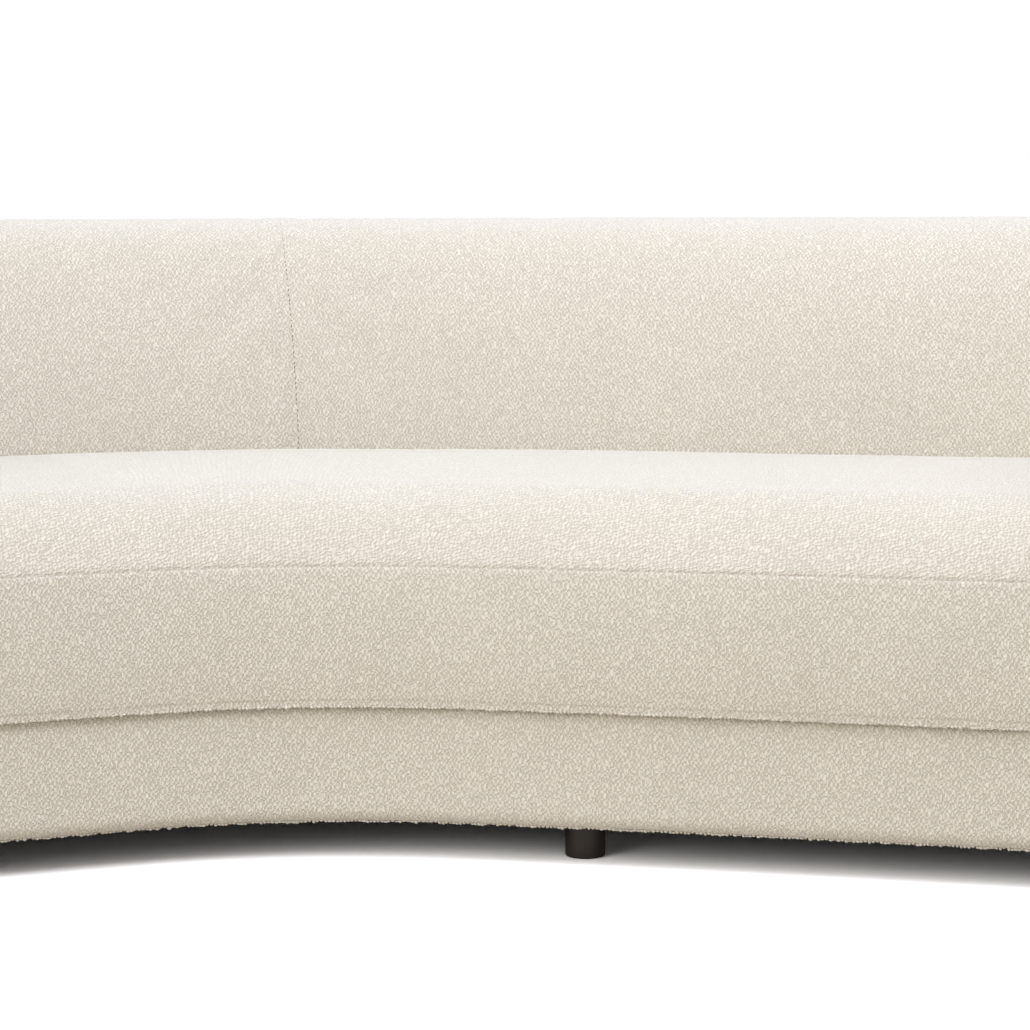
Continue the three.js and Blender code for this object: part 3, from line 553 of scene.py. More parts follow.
class SOFA_OT_seat(bpy.types.Operator):
    """Covers the seat: crowned top, rounded front edge and front band"""

    bl_idname = "sofa.seat"
    bl_label = "Seat"

    def execute(self, context):
        runs = seat_runs()
        rows = []
        for run in runs:
            line, seam = seat_section(run, context.scene.sofa_seams.seat_seam_dip)
            place, back = front_at(run)
            rows.append([raised(place, back, depth, height) for depth, height in line])
        last = len(rows[0]) - 1
        walls = [[row[0].lerp(row[-1], share) for share in evenly(0, 1, last)]
                 for row in (rows[0], rows[-1])]
        rows = [walls[0], *rows, walls[1]]
        stations = [runs[0] - SEAT_END_WALL, *runs, runs[-1] + SEAT_END_WALL]
        bias = context.scene.sofa_cloth.bias
        turns = [0.0 if k < seam else bias for k in range(last + 1)]
        bm = bmesh.new()
        spots = sheet_mesh(bm, rows, stations, turns=turns)
        held = [vert for vert, (i, k) in spots.items()
                if k < SEAT_HELD["edge"] or last - k < SEAT_HELD["rear"]
                or abs(k - seam) < SEAT_HELD["seam"]
                or min(i, len(rows) - 1 - i) < SEAT_HELD["end"]]
        bm.verts.index_update()
        held = [vert.index for vert in held]
        piece = upholster(context, bm, "seat_upholstery", ("seat_cover", "seat_foam"),
                          inside=(0, 0.25, 0.3), held=held)

        edge = [raised(*front_at(run), BAND_LOOP_INSET - SEAT_OVERHANG,
                       BODY_BOTTOM + BAND_LOOP_RISE) for run in runs]
        add_edge_loops(context, "band_edge_loops", edge)
        return {'FINISHED'}


# Back and arms. A half section is a function of a place along it: 0 under its lower edge, 1 to 3
# round that edge, then up its face, where the inside's roll starts at 5 and the outside's seam
# lies at 6, and 11 at the crest.

EDGE_END = 3
ROLL_START = 5
REAR_SEAM = 6
CREST = 11


def under_edge(width, bottom, place):
    if place < 1:
        return mix(width - COVER_FLANGE, width - GROOVE_ROLL, place), bottom
    turn = (place - 1) * math.pi / 4
    return width - GROOVE_ROLL * (1 - math.sin(turn)), bottom + GROOVE_ROLL * (1 - math.cos(turn))


def inner_half(place, tuck):
    """The inside of the back: (width in from the crest line, height)."""
    if place <= EDGE_END:
        return under_edge(BACK_SETBACK, tuck, place)
    if place <= ROLL_START:
        share = (place - EDGE_END) / (ROLL_START - EDGE_END)
        return BACK_SETBACK, mix(tuck + GROOVE_ROLL, INNER_ROLL[0][1], share)
    t = (place - ROLL_START) / (CREST - ROLL_START)
    shares = ((1 - t) ** 3, 3 * (1 - t) ** 2 * t, 3 * (1 - t) * t ** 2, t ** 3)
    return tuple(sum(share * point[axis] for share, point in zip(shares, INNER_ROLL))
                 for axis in (0, 1))


def rounded_half(place, width):
    """The outside of the back and the front of a nose: (width out, height)."""
    if place <= EDGE_END:
        return under_edge(width, BODY_BOTTOM, place)
    if place <= REAR_SEAM:
        share = (place - EDGE_END) / (REAR_SEAM - EDGE_END)
        return width, mix(BODY_BOTTOM + GROOVE_ROLL, REAR_SEAM_HEIGHT, share)
    turn = (place - REAR_SEAM) / (CREST - REAR_SEAM) * math.pi / 2
    roll = BACK_HEIGHT - REAR_SEAM_HEIGHT
    return width * math.cos(turn), REAR_SEAM_HEIGHT + roll * math.sin(turn)


HALF_PLACES = [0, *evenly(1, EDGE_END, 5), *evenly(EDGE_END, ROLL_START, 12)[1:],
               *evenly(ROLL_START, CREST, 36)[1:]]
ROLL_PLACES = [place for place in HALF_PLACES[-2::-1] if place > REAR_SEAM - 0.01]


def crest_stations(side):
    """The crest line from the middle to an arm's nose: (run or None, place, way out)."""
    stations = [(run, None, None) for run in RUNS_BY_SEAM]
    stations += [(run, None, None) for run in wing_runs(CLOTH_PITCH) if run > SEAM_CLEAR]
    along, back, centre = arm_frame(side)
    for turn in quarter_turn(30)[1:]:
        out = swing(back, along, turn)
        stations.append((None, centre + out * CREST_CORNER_RADIUS, out))
    for depth in evenly(CORNER_DEPTH, NOSE_DEPTH, ARM_STEPS)[1:]:
        stations.append((None, plan_point(side * ARM_RUN, depth), along))
    return stations


def tuck_of(index, stations):
    return ARM_TUCK_HEIGHT if index >= len(stations) - ARM_STEPS else BACK_TUCK_HEIGHT


def back_level(height):
    """0 at the seat's line, 1 at the crest."""
    return (height - SEAT_LINE_HEIGHT) / (BACK_HEIGHT - SEAT_LINE_HEIGHT)


def seam_lean(height, lean):
    """How far the back's seam stands to the right of the middle at a height."""
    level = back_level(height)
    return lean * (SEAM_FOOT - level + SEAM_BOW * level * (1 - level))


def back_point(side, station, width, height, seams):
    """A point of the back's surface, width in from the crest line and height up."""
    run, place, out = station
    if run is None:
        return raised(place, out, -width, height)
    near = max(0, 1 - run / LEAN_REACH)
    shifted = side * run + seam_lean(height, seams.back_seam_lean) * near
    dip = seams.back_seam_dip * max(0, 1 - run / RUNS_BY_SEAM[-1]) ** 2
    place, out = plan_point(shifted, CREST_DEPTH), front_at(shifted)[1]
    down = dip * CREST_DIP_SHARE * min(1, max(0, back_level(height))) ** 2
    inwards = math.copysign(dip, width) * min(1, abs(width) / DIP_FADE)
    return raised(place, out, -width + inwards, height - down)


def nose_rows(side, stations):
    """The round front end of an arm, from its inner side round to its outer side."""
    _, place, out = stations[-1]
    ahead = -arm_frame(side)[1]
    rows = []
    for turn in evenly(0, math.pi, NOSE_STEPS):
        across, forward = math.cos(turn), abs(math.sin(turn))
        across_share = math.copysign(abs(across) ** (2 / NOSE_EXPONENT), across)
        forward_share = forward ** (2 / NOSE_EXPONENT)
        row = []
        for spot in HALF_PLACES:
            side_width, side_height = (inner_half(spot, ARM_TUCK_HEIGHT) if across >= 0
                                       else rounded_half(spot, REAR_THICKNESS))
            front_width, front_height = rounded_half(spot, NOSE_REACH)
            height = mix(front_height, side_height, across ** 2)
            base = place + ahead * front_width * forward_share
            row.append(raised(base, out, -side_width * across_share, height))
        rows.append(row)
    return rows


def inside_back_mesh(side, seams):
    """A panel of the inside back with its arm and nose, and the vertices its seams hold."""
    stations = crest_stations(side)
    rows = []
    for index, station in enumerate(stations):
        tuck = tuck_of(index, stations)
        halves = [inner_half(spot, tuck) for spot in HALF_PLACES]
        rolls = [rounded_half(spot, REAR_THICKNESS) for spot in ROLL_PLACES]
        row = [back_point(side, station, width, height, seams) for width, height in halves]
        row += [back_point(side, station, -width, height, seams) for width, height in rolls]
        rows.append(row)
    crest = len(HALF_PLACES) - 1
    seam = crest - len(ROLL_PLACES)
    measured = lengths_along([row[crest - INSIDE_MEASURE] for row in rows])
    bm = bmesh.new()
    spots = sheet_mesh(bm, rows, [side * length for length in measured], crest)
    last = len(rows[0]) - 1
    held = {vert for vert, (i, k) in spots.items()
            if i < BACK_HELD["middle"] or k < BACK_HELD["tuck"] or last - k < BACK_HELD["seam"]}
    nose = nose_rows(side, stations)
    rings = [lengths_along([row[k] for row in nose]) for k in range(crest + 1)]
    reaches = [[side * (ring[i] - ring[len(nose) // 2]) for ring in rings]
               for i in range(len(nose))]
    nose_spots = sheet_mesh(bm, nose, reaches, crest)
    held |= {vert for vert, (i, k) in nose_spots.items()
             if k < BACK_HELD["nose_edge"]
             or (len(nose) - 1 - i < BACK_HELD["nose_end"] and k <= seam)}
    bm.verts.index_update()
    pinned = {vert.index for vert in held}
    marks = bm.verts.layers.int.new("held")
    for vert in bm.verts:
        vert[marks] = vert.index in pinned
    weld(bm)
    bm.verts.index_update()
    held = [vert.index for vert in bm.verts if vert[marks]]
    return bm, held


class SOFA_OT_inside_back(bpy.types.Operator):
    """Covers the inside of the back and both arms, in two panels sewn at the middle"""

    bl_idname = "sofa.inside_back"
    bl_label = "Inside back and arms"

    def execute(self, context):
        for side, word in ((1, "right"), (-1, "left")):
            bm, held = inside_back_mesh(side, context.scene.sofa_seams)
            nodes = f"inside_back_cover_{word}", f"back_foam_{word}"
            piece = upholster(context, bm, f"back_upholstery_{word}", nodes,
                              inside=(side * 0.6, 0.52, 0.3), calm_fade=BACK_CALM_FADE, held=held)
        return {'FINISHED'}


class SOFA_OT_outside_back(bpy.types.Operator):
    """Covers the outside of the back and arms with one panel"""

    bl_idname = "sofa.outside_back"
    bl_label = "Outside back"

    def execute(self, context):
        places = [0, *evenly(1, EDGE_END, 5), *evenly(EDGE_END, REAR_SEAM, 36)[1:]]
        rows = []
        for side in (-1, 1):
            rim = []
            for run, place, out in crest_stations(side):
                if run is not None:
                    place, out = plan_point(side * run, CREST_DEPTH), front_at(side * run)[1]
                rim.append([raised(place, out, *rounded_half(spot, REAR_THICKNESS))
                            for spot in places])
            rows += rim[::-1] if side < 0 else rim[1:]
        bm = bmesh.new()
        sheet_mesh(bm, rows, lengths_along([row[OUTSIDE_MEASURE] for row in rows]))
        weld(bm)
        upholster(context, bm, "outside_back_upholstery", ("outside_back_cover",),
                  inside=(0, 0.3, 0.4), unevenness=OUTSIDE_UNEVENNESS)

        path = [row[-1] for row in rows]
        down = [rows[-1][k] for k in range(len(places) - 2, PIPING_START - 1, -1)]
        up = [rows[0][k] for k in range(PIPING_START, len(places) - 1)]
        radius = context.scene.sofa_seams.piping_radius
        piping = tube_along("rear_piping", up + path + down, radius, boucle_material(context))
        finish_piece(piping)
        return {'FINISHED'}


def tube_along(name, points, radius, material):
    """A round cord through points, made a mesh with its length as its map."""
    curve = bpy.data.curves.new(name, 'CURVE')
    curve.dimensions = '3D'
    curve.bevel_depth = radius
    curve.bevel_resolution = 3
    curve.use_fill_caps = True
    spline = curve.splines.new('POLY')
    spline.points.add(len(points) - 1)
    for spot, point in zip(spline.points, points):
        spot.co = (*point, 1)
    holder = bpy.data.objects.new(name, curve)
    mesh = bpy.data.meshes.new_from_object(holder)
    bpy.data.objects.remove(holder)
    mesh.name = name
    mesh.materials.clear()
    return smooth_piece(name, mesh, material)


# Base


def base_outline():
    """The base's outline, all the way round: (place, way out)."""
    half = []
    side_run = BASE_SIDE - BASE_CORNER_RADIUS
    straight = evenly(WING_RUN, side_run, 16)[1:]
    for run in wing_runs(CLOTH_PITCH) + straight:
        place, back = front_at(run)
        half.append((place, -back))
    along, back, centre = arm_frame(1)
    front_corner = plan_point(side_run, BASE_CORNER_RADIUS)
    for turn in evenly(math.pi, math.pi / 2, 12)[1:]:
        out = swing(back, along, turn)
        half.append((front_corner + out * BASE_CORNER_RADIUS, out))
    edge = front_corner + along * BASE_CORNER_RADIUS
    corner = centre + along * (BASE_SIDE - WING_RUN)
    half += [(edge.lerp(corner, share), along) for share in evenly(0, 1, 26)[1:]]
    for turn in evenly(math.pi / 2, 0, 30)[1:]:
        out = swing(back, along, turn)
        half.append((centre + out * (BASE_SIDE - WING_RUN), out))
    for run in reversed(wing_runs(CLOTH_PITCH)[:-1]):
        half.append((plan_point(run, BASE_REAR), front_at(run)[1]))
    other = [(Vector((-place.x, place.y)), Vector((-out.x, out.y))) for place, out in half[1:-1]]
    return half + other[::-1]


class SOFA_OT_base(bpy.types.Operator):
    """Covers the recessed base all round"""

    bl_idname = "sofa.base"
    bl_label = "Base"

    def execute(self, context):
        low = roll_under(0, LEG_HEIGHT, ROLL_RADIUS, 6)
        top = BASE_TOP + BASE_RISE
        deep, tall = BASE_SHOULDER
        high = [(deep * (1 - math.cos(turn)), top - tall * (1 - math.sin(turn)))
                for turn in quarter_turn(8)]
        face = [(0, mix(low[-1][1], high[0][1], share)) for share in evenly(0, 1, 14)[1:-1]]
        section = [(BASE_BOTTOM_FLANGE, LEG_HEIGHT), *low, *face, *high, (BASE_TOP_FLANGE, top)]
        outline = base_outline()
        outline.append(outline[0])
        rows = [[raised(place, out, -inset, height) for inset, height in section]
                for place, out in outline]
        bm = bmesh.new()
        sheet_mesh(bm, rows, lengths_along([row[BASE_MEASURE] for row in rows]))
        weld(bm)
        piece = upholster(context, bm, "base_upholstery", ("base_cover", "base_padding"),
                          inside=(0, 0.35, 0.12), unevenness=BASE_UNEVENNESS)

        edge = [raised(place, out, -BASE_LOOP_INSET, LEG_HEIGHT) for place, out in outline]
        add_edge_loops(context, "base_edge_loops", edge)
        return {'FINISHED'}


def add_edge_loops(context, name, path):
    """Loose loops of yarn that stand out along an edge."""
    pitch = context.scene.sofa_cloth.loop_length * LOOP_PITCH
    shape = bmesh.new()
    bmesh.ops.create_icosphere(shape, subdivisions=1, radius=1)
    loop_mesh = bpy.data.meshes.new("yarn_loop")
    shape.to_mesh(loop_mesh)
    shape.free()
    lengths = lengths_along(path)
    noise.seed_set(LOOP_SEED)
    bm = bmesh.new()
    k, at = 0, 0.0
    while at < lengths[-1]:
        while lengths[k + 1] < at:
            k += 1
        place = path[k].lerp(path[k + 1], (at - lengths[k]) / (lengths[k + 1] - lengths[k]))
        stray = noise.noise_vector(place * STRAY_CHANGE)
        way = (path[k + 1] - path[k]).to_track_quat('X', 'Z').to_matrix().to_4x4()
        length, depth, height = LOOP_HALF_SIZE
        size = Matrix.Diagonal((pitch * (length + LENGTH_STRAY * stray.x), depth,
                                height * (1 + HEIGHT_STRAY * stray.z), 1))
        spot = Matrix.Translation(place + Vector((0, 0, LIFT_STRAY * stray.y))) @ way @ size
        loop_mesh.transform(spot)
        bm.from_mesh(loop_mesh)
        loop_mesh.transform(spot.inverted())
        at += pitch * (LOOP_STEP + STEP_STRAY * stray.y)
    bpy.data.meshes.remove(loop_mesh)
    loops = piece_from(bm, name, boucle_material(context))
    finish_piece(loops)


# Stitches


class SOFA_OT_stitches(bpy.types.Operator):
    """Sews the back's middle seam with spaced stitches"""

    bl_idname = "sofa.stitches"
    bl_label = "Stitches"

    def execute(self, context):
        seams = context.scene.sofa_seams
        station = (0.0, None, None)
        line = [back_point(1, station, *inner_half(spot, BACK_TUCK_HEIGHT), seams)
                for spot in evenly(STITCHES_FROM, CREST, 160)]
        line += [back_point(1, station, -width, height, seams)
                 for width, height in (rounded_half(spot, REAR_THICKNESS)
                                       for spot in evenly(CREST, REAR_SEAM, 60)[1:])]
        lengths = lengths_along(line)
        bm = bmesh.new()
        at = STITCH_START
        while at < lengths[-1] - STITCH_END:
            k = next(i for i, length in enumerate(lengths) if length >= at)
            way = (line[min(k + 2, len(line) - 1)] - line[max(k - 2, 0)]).normalized()
            cover = min(1, max(0, (line[k].z - SEAM_FADE[0]) / (SEAM_FADE[1] - SEAM_FADE[0])))
            add_stitch(bm, line[k], way, seams.stitch_pitch * STITCH_HALF,
                       STITCH_RADIUS * (1 - STITCH_SINK * cover))
            at += seams.stitch_pitch
        piece = piece_from(bm, "back_seam_stitches", thread_material())
        finish_piece(piece)
        return {'FINISHED'}


def add_stitch(bm, place, way, half_length, radius):
    """One stitch: a short rounded bar of thread along the seam."""
    made = bmesh.ops.create_icosphere(bm, subdivisions=1, radius=1)["verts"]
    turn = way.to_track_quat('Z', 'Y').to_matrix().to_4x4()
    size = Matrix.Diagonal((radius, radius, half_length, 1))
    bmesh.ops.transform(bm, matrix=Matrix.Translation(place) @ turn @ size, verts=made)


# Legs and frame

LEG_NODES = [f"leg_{row}_{number}" for row in ("front", "rear") for number in (1, 2, 3, 4)]


class SOFA_OT_legs(bpy.types.Operator):
    """Turns the short round legs, with a softened foot"""

    bl_idname = "sofa.legs"
    bl_label = "Legs"

    def execute(self, context):
        wood = leg_material(context)
        for node in LEG_NODES:
            low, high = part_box(node)
            centre = Vector(((low[0] + high[0]) / 2, (low[1] + high[1]) / 2, 0))
            radius, height = (high[0] - low[0]) / 2, high[2]
            profile = [(0, 0), (radius * FOOT_REACH, 0)]
            profile += [(radius - LEG_EDGE * (1 - math.sin(turn)), LEG_EDGE * (1 - math.cos(turn)))
                        for turn in quarter_turn(5)]
            profile += [(radius, height - LEG_TOP_EDGE), (radius - LEG_TOP_EDGE, height),
                        (0, height)]
            bm = bmesh.new()
            verts = [bm.verts.new((x, 0, z)) for x, z in profile]
            edges = [bm.edges.new(pair) for pair in zip(verts, verts[1:])]
            bmesh.ops.spin(bm, geom=verts + edges, cent=(0, 0, 0), axis=(0, 0, 1),
                           angle=math.tau, steps=64, use_merge=True)
            weld(bm, distance=0.00001)
            bmesh.ops.recalc_face_normals(bm, faces=bm.faces)
            bmesh.ops.translate(bm, vec=centre, verts=bm.verts)
            piece = piece_from(bm, node.replace("leg", "turned_leg"), wood)
            piece.data.set_sharp_from_angle(angle=math.radians(40))
            finish_piece(piece, node)
        return {'FINISHED'}


class SOFA_OT_frame(bpy.types.Operator):
    """Finishes the timber, webbing, felt, steel and the cloth under the base"""

    bl_idname = "sofa.frame"
    bl_label = "Frame"

    def execute(self, context):
        finishes = {
            "timber": timber_material("sofa_timber", context.scene.sofa_wood.timber_colour),
            "board": timber_material("sofa_board", BOARD_COLOUR),
            # The groove's spacer is finished near black as painted shade in the groove
            "groove_spacer": timber_material("sofa_batten", BATTEN_SHADE_COLOUR),
            "webbing": woven_material("sofa_webbing", WEBBING_COLOUR, threads=900),
            "felt": felt_material("sofa_felt", FELT_COLOUR),
            "dust_cloth": woven_material("sofa_dust_cloth", DUST_CLOTH_COLOUR, threads=700),
            "steel": steel_material(),
        }
        for part in frame["record"]["subparts"]:
            finish = finishes.get(part["node"]) or finishes.get(part["material_slot"])
            if finish is None:
                continue
            node = frame["nodes"][part["node"]]
            node.data.materials.clear()
            node.data.materials.append(finish)
        return {'FINISHED'}


# Materials


def feed(tree, node, inputs):
    """Sets or links a node's inputs."""
    for key, value in inputs.items():
        if isinstance(value, bpy.types.NodeSocket):
            tree.links.new(value, node.inputs[key])
        else:
            node.inputs[key].default_value = value


def add_node(tree, kind, inputs, **settings):
    made = tree.nodes.new(kind)
    for key, value in settings.items():
        setattr(made, key, value)
    feed(tree, made, inputs)
    return made


def new_finish(name):
    """A material, its nodes, its surface and the place on the object that its textures take."""
    material = bpy.data.materials.new(name)
    material.use_nodes = True
    tree = material.node_tree
    place = add_node(tree, "ShaderNodeTexCoord", {}).outputs["Object"]
    return material, tree, tree.nodes["Principled BSDF"], place


def calculate(tree, operation, first, second, clamp=False):
    return add_node(tree, "ShaderNodeMath", {0: first, 1: second}, operation=operation,
                    use_clamp=clamp).outputs[0]


def combine(tree, operation, inputs):
    return add_node(tree, "ShaderNodeVectorMath", inputs, operation=operation).outputs[0]


def noise_at(tree, place, scale, detail, socket="Fac"):
    return add_node(tree, "ShaderNodeTexNoise", {"Vector": place, "Scale": scale,
                                                 "Detail": detail}).outputs[socket]


def spread(tree, value, ends, **settings):
    """The value drawn out from one range to another, each 0 to 1 unless the ends say otherwise."""
    return add_node(tree, "ShaderNodeMapRange", {"Value": value, **ends}, **settings).outputs[0]


def mixed(tree, factor, first, second):
    """A colour mix. Its colour sockets go by number, as other kinds of mix share their names."""
    return add_node(tree, "ShaderNodeMix", {0: factor, 6: (*first[:3], 1), 7: (*second[:3], 1)},
                    data_type='RGBA').outputs[2]


def shades_of(colour, dark, light):
    return tuple(channel * dark for channel in colour), tuple(channel * light for channel in colour)


def bumped(tree, height, distance, strength=1.0):
    return add_node(tree, "ShaderNodeBump", {"Height": height, "Distance": distance,
                                             "Strength": strength}).outputs[0]


def boucle_material(context):
    """Looped yarn: short nubs in staggered columns, with painted shade darkening the hollows
    between them.
    """
    if "sofa_boucle" in bpy.data.materials:
        return bpy.data.materials["sofa_boucle"]
    cloth = context.scene.sofa_cloth
    material, tree, surface, place = new_finish("sofa_boucle")
    weave = add_node(tree, "ShaderNodeUVMap", {}, uv_map="Weave").outputs["UV"]
    stray = noise_at(tree, place, scale=130, detail=1, socket="Color")
    centred = combine(tree, 'SUBTRACT', {0: stray, 1: (0.5, 0.5, 0.5)})
    reach = (cloth.loop_width * STRAY[0], cloth.loop_width * STRAY[1], 0)
    shift = combine(tree, 'MULTIPLY', {0: centred, 1: reach})
    loose = combine(tree, 'ADD', {0: weave, 1: shift})
    columns = (math.pi / cloth.loop_width, math.tau / cloth.loop_length, 1)
    cells = add_node(tree, "ShaderNodeMapping", {"Vector": loose, "Scale": columns})
    apart = add_node(tree, "ShaderNodeSeparateXYZ", {"Vector": cells.outputs[0]})
    column, along = (calculate(tree, 'SINE', apart.outputs[axis], 0.0) for axis in 'XY')
    staggered = calculate(tree, 'MULTIPLY', column, along)
    nubs = spread(tree, staggered, {"From Min": -0.75, "From Max": 0.7},
                  interpolation_type='SMOOTHSTEP')
    yarn = noise_at(tree, place, scale=430, detail=2)
    bunch = noise_at(tree, place, scale=90, detail=1)
    nub_share = calculate(tree, 'MULTIPLY', nubs, NUB_SHARE)
    yarn_share = calculate(tree, 'MULTIPLY', yarn, YARN_SHARE)
    bunch_share = calculate(tree, 'MULTIPLY', bunch, BUNCH_SHARE)
    fine = calculate(tree, 'ADD', yarn_share, bunch_share)
    height = calculate(tree, 'ADD', nub_share, fine)

    # Painted shade: the lower the relief, the more of the hollows' darker colour
    shade = spread(tree, height, {"From Min": 0.12, "From Max": 0.9})
    colour = mixed(tree, shade, cloth.hollow_shade_colour, cloth.yarn_colour)
    slow = noise_at(tree, place, scale=7, detail=1)
    tone = spread(tree, slow, {"To Min": 0.97, "To Max": 1.03})
    feed(tree, surface, {
        "Base Color": combine(tree, 'SCALE', {0: colour, "Scale": tone}), "Roughness": 0.95,
        "Specular IOR Level": 0.4, "Sheen Weight": 1.0, "Sheen Roughness": 0.5,
        "Sheen Tint": (1, 1, 1, 1), "Normal": bumped(tree, height, cloth.loop_height)})
    return material


def thread_material():
    material, tree, surface, place = new_finish("sofa_thread")
    twist = add_node(tree, "ShaderNodeTexWave", {"Vector": place, "Scale": 900.0,
                                                 "Distortion": 1.0})
    feed(tree, surface, {"Base Color": (*THREAD_COLOUR, 1), "Roughness": 0.8,
                         "Normal": bumped(tree, twist.outputs["Fac"], 0.0002)})
    return material


def grain(tree, place, scale):
    stretched = add_node(tree, "ShaderNodeMapping", {"Vector": place, "Scale": scale})
    return add_node(tree, "ShaderNodeTexNoise", {"Vector": stretched.outputs[0], "Scale": 1.0,
                                                 "Detail": 5.0, "Roughness": 0.65}).outputs["Fac"]


def leg_material(context):
    """Dark stained wood with upright grain."""
    material, tree, surface, place = new_finish("sofa_leg_wood")
    figure = grain(tree, place, (260, 260, 14))
    shades = shades_of(context.scene.sofa_wood.leg_colour, dark=1, light=1.9)
    feed(tree, surface, {"Base Color": mixed(tree, figure, *shades),
                         "Roughness": spread(tree, figure, {"To Min": 0.34, "To Max": 0.5}),
                         "Normal": bumped(tree, figure, 0.0002, strength=0.5)})
    return material


def timber_material(name, base):
    """Bare planed timber or pressed board, or a near-black finish that is painted shade."""
    material, tree, surface, place = new_finish(name)
    figure = grain(tree, place, (9, 70, 120))
    shades = shades_of(base, dark=0.72, light=1)
    feed(tree, surface, {"Base Color": mixed(tree, figure, *shades), "Roughness": 0.72,
                         "Normal": bumped(tree, figure, 0.0003, strength=0.6)})
    return material


def woven_material(name, base, threads):
    """Fine crossed threads, so many to a metre. A wave texture has about three to its scale."""
    material, tree, surface, place = new_finish(name)
    warp, weft = (add_node(tree, "ShaderNodeTexWave", {"Vector": place, "Scale": threads / 3},
                           bands_direction=way).outputs["Fac"] for way in 'XY')
    weave = calculate(tree, 'MULTIPLY', warp, weft)
    shades = shades_of(base, dark=0.6, light=1.8)
    feed(tree, surface, {"Base Color": mixed(tree, weave, *shades), "Roughness": 0.9,
                         "Normal": bumped(tree, weave, 0.0003, strength=0.7)})
    return material


def felt_material(name, base):
    material, tree, surface, place = new_finish(name)
    fluff = noise_at(tree, place, scale=420, detail=4)
    shades = shades_of(base, dark=0.6, light=1.4)
    feed(tree, surface, {"Base Color": mixed(tree, fluff, *shades), "Roughness": 1.0,
                         "Normal": bumped(tree, fluff, 0.0008)})
    return material


def steel_material():
    material, tree, surface, place = new_finish("sofa_steel")
    wear = noise_at(tree, place, scale=300, detail=3)
    feed(tree, surface, {"Base Color": (*STEEL_COLOUR, 1), "Metallic": 1.0,
                         "Roughness": spread(tree, wear, {"To Min": 0.28, "To Max": 0.5})})
    return material


# Stage


def seen_directly(tree):
    """1 for the camera, mirrors and glass, 0 for the light that reaches the sofa."""
    path = add_node(tree, "ShaderNodeLightPath", {})
    seen = calculate(tree, 'ADD', path.outputs["Is Camera Ray"], path.outputs["Is Glossy Ray"])
    return calculate(tree, 'ADD', seen, path.outputs["Is Transmission Ray"], clamp=True)


def floor_material(lift):
    """A floor that lights the sofa with its own colour, and that the camera sees lifted."""
    material, tree, surface, _ = new_finish("studio_floor")
    tree.nodes.remove(surface)
    plain = add_node(tree, "ShaderNodeBsdfDiffuse", {"Color": (*FLOOR_COLOUR, 1)})
    shown = add_node(tree, "ShaderNodeBsdfDiffuse", {"Color": (lift, lift, lift, 1)})
    path = add_node(tree, "ShaderNodeLightPath", {})
    both = add_node(tree, "ShaderNodeMixShader", {0: path.outputs["Is Camera Ray"],
                                                  1: plain.outputs[0], 2: shown.outputs[0]})
    feed(tree, tree.nodes["Material Output"], {"Surface": both.outputs[0]})
    return material


def add_lamp(name, power, colour, place, target, width, depth):
    light = bpy.data.lights.new(name, 'AREA')
    light.shape = 'RECTANGLE'
    light.size = width
    light.size_y = depth
    light.energy = power
    light.color = colour
    lamp = put_in_scene(name, light)
    lamp.location = place
    lamp.rotation_euler = (Vector(target) - Vector(place)).to_track_quat('-Z', 'Y').to_euler()
    lamp.visible_camera = False


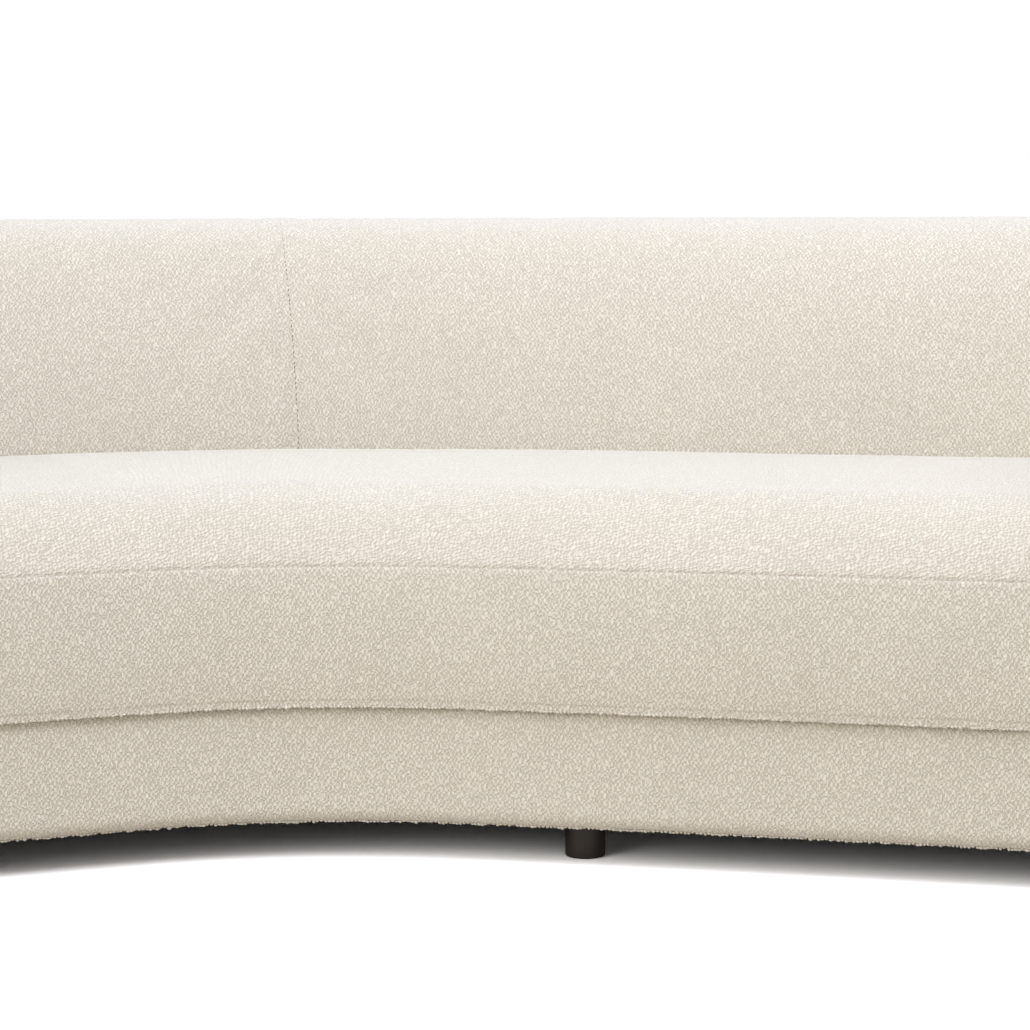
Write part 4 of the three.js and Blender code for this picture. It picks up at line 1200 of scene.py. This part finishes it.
class SOFA_OT_stage(bpy.types.Operator):
    """Sets the floor, the soft studio light and the camera"""

    bl_idname = "sofa.stage"
    bl_label = "Stage"

    def execute(self, context):
        scene = context.scene
        stage = scene.sofa_stage
        bm = bmesh.new()
        bmesh.ops.create_grid(bm, x_segments=1, y_segments=1, size=FLOOR_HALF)
        floor = piece_from(bm, "studio_floor", floor_material(stage.floor_lift))

        world = bpy.data.worlds.new("studio")
        world.use_nodes = True
        tree = world.node_tree
        tree.nodes.clear()
        light = add_node(tree, "ShaderNodeBackground", {"Color": (1, 1, 1, 1),
                                                        "Strength": stage.room_light})
        white = add_node(tree, "ShaderNodeBackground", {"Color": (1, 1, 1, 1), "Strength": 1.0})
        both = add_node(tree, "ShaderNodeMixShader", {0: seen_directly(tree), 1: light.outputs[0],
                                                      2: white.outputs[0]})
        add_node(tree, "ShaderNodeOutputWorld", {"Surface": both.outputs[0]})
        scene.world = world

        for name, lamp in LAMPS.items():
            add_lamp(f"{name}_lamp", getattr(stage, f"{name}_light"), *lamp)

        lens = bpy.data.cameras.new("photo_camera")
        lens.lens = CAMERA_LENS
        lens.sensor_width = SENSOR_WIDTH
        lens.clip_end = CAMERA_SIGHT
        camera = put_in_scene("photo_camera", lens)
        x, y, z = CAMERA_PLACE
        aim = Euler((math.pi / 2 - CAMERA_PITCH, 0, -CAMERA_YAW)).to_matrix()
        aim = aim @ Matrix.Rotation(CAMERA_ROLL, 3, 'Z')
        camera.matrix_world = Matrix.Translation((x, y + FRONT_Y, z)) @ aim.to_4x4()
        scene.camera = camera
        scene.view_settings.view_transform = 'Standard'
        return {'FINISHED'}


class SOFA_PT_panel(bpy.types.Panel):
    """Lists the sofa's settings and the steps that make it"""

    bl_idname = "SOFA_PT_panel"
    bl_label = "Curved Sofa"
    bl_space_type = 'VIEW_3D'
    bl_region_type = 'UI'
    bl_category = "Sofa"

    def draw(self, context):
        for group in SETTINGS:
            settings = getattr(context.scene, group)
            box = self.layout.box()
            for name in settings.__annotations__:
                box.prop(settings, name)
        for step in STEPS:
            self.layout.operator(step.bl_idname)


SETTINGS = {
    "sofa_cloth": SofaClothSettings,
    "sofa_seams": SofaSeamSettings,
    "sofa_wood": SofaWoodSettings,
    "sofa_stage": SofaStageSettings,
}
STEPS = (
    SOFA_OT_stage,
    SOFA_OT_seat,
    SOFA_OT_inside_back,
    SOFA_OT_outside_back,
    SOFA_OT_base,
    SOFA_OT_stitches,
    SOFA_OT_legs,
    SOFA_OT_frame,
)


def register():
    for group, settings in SETTINGS.items():
        bpy.utils.register_class(settings)
        setattr(bpy.types.Scene, group, PointerProperty(type=settings))
    for step in (*STEPS, SOFA_PT_panel):
        bpy.utils.register_class(step)


def unregister():
    for step in reversed((*STEPS, SOFA_PT_panel)):
        bpy.utils.unregister_class(step)
    for group, settings in reversed(SETTINGS.items()):
        delattr(bpy.types.Scene, group)
        bpy.utils.unregister_class(settings)


def main():
    register()
    for step in STEPS:
        module, name = step.bl_idname.split(".")
        getattr(getattr(bpy.ops, module), name)()


if __name__ == "__main__":
    main()
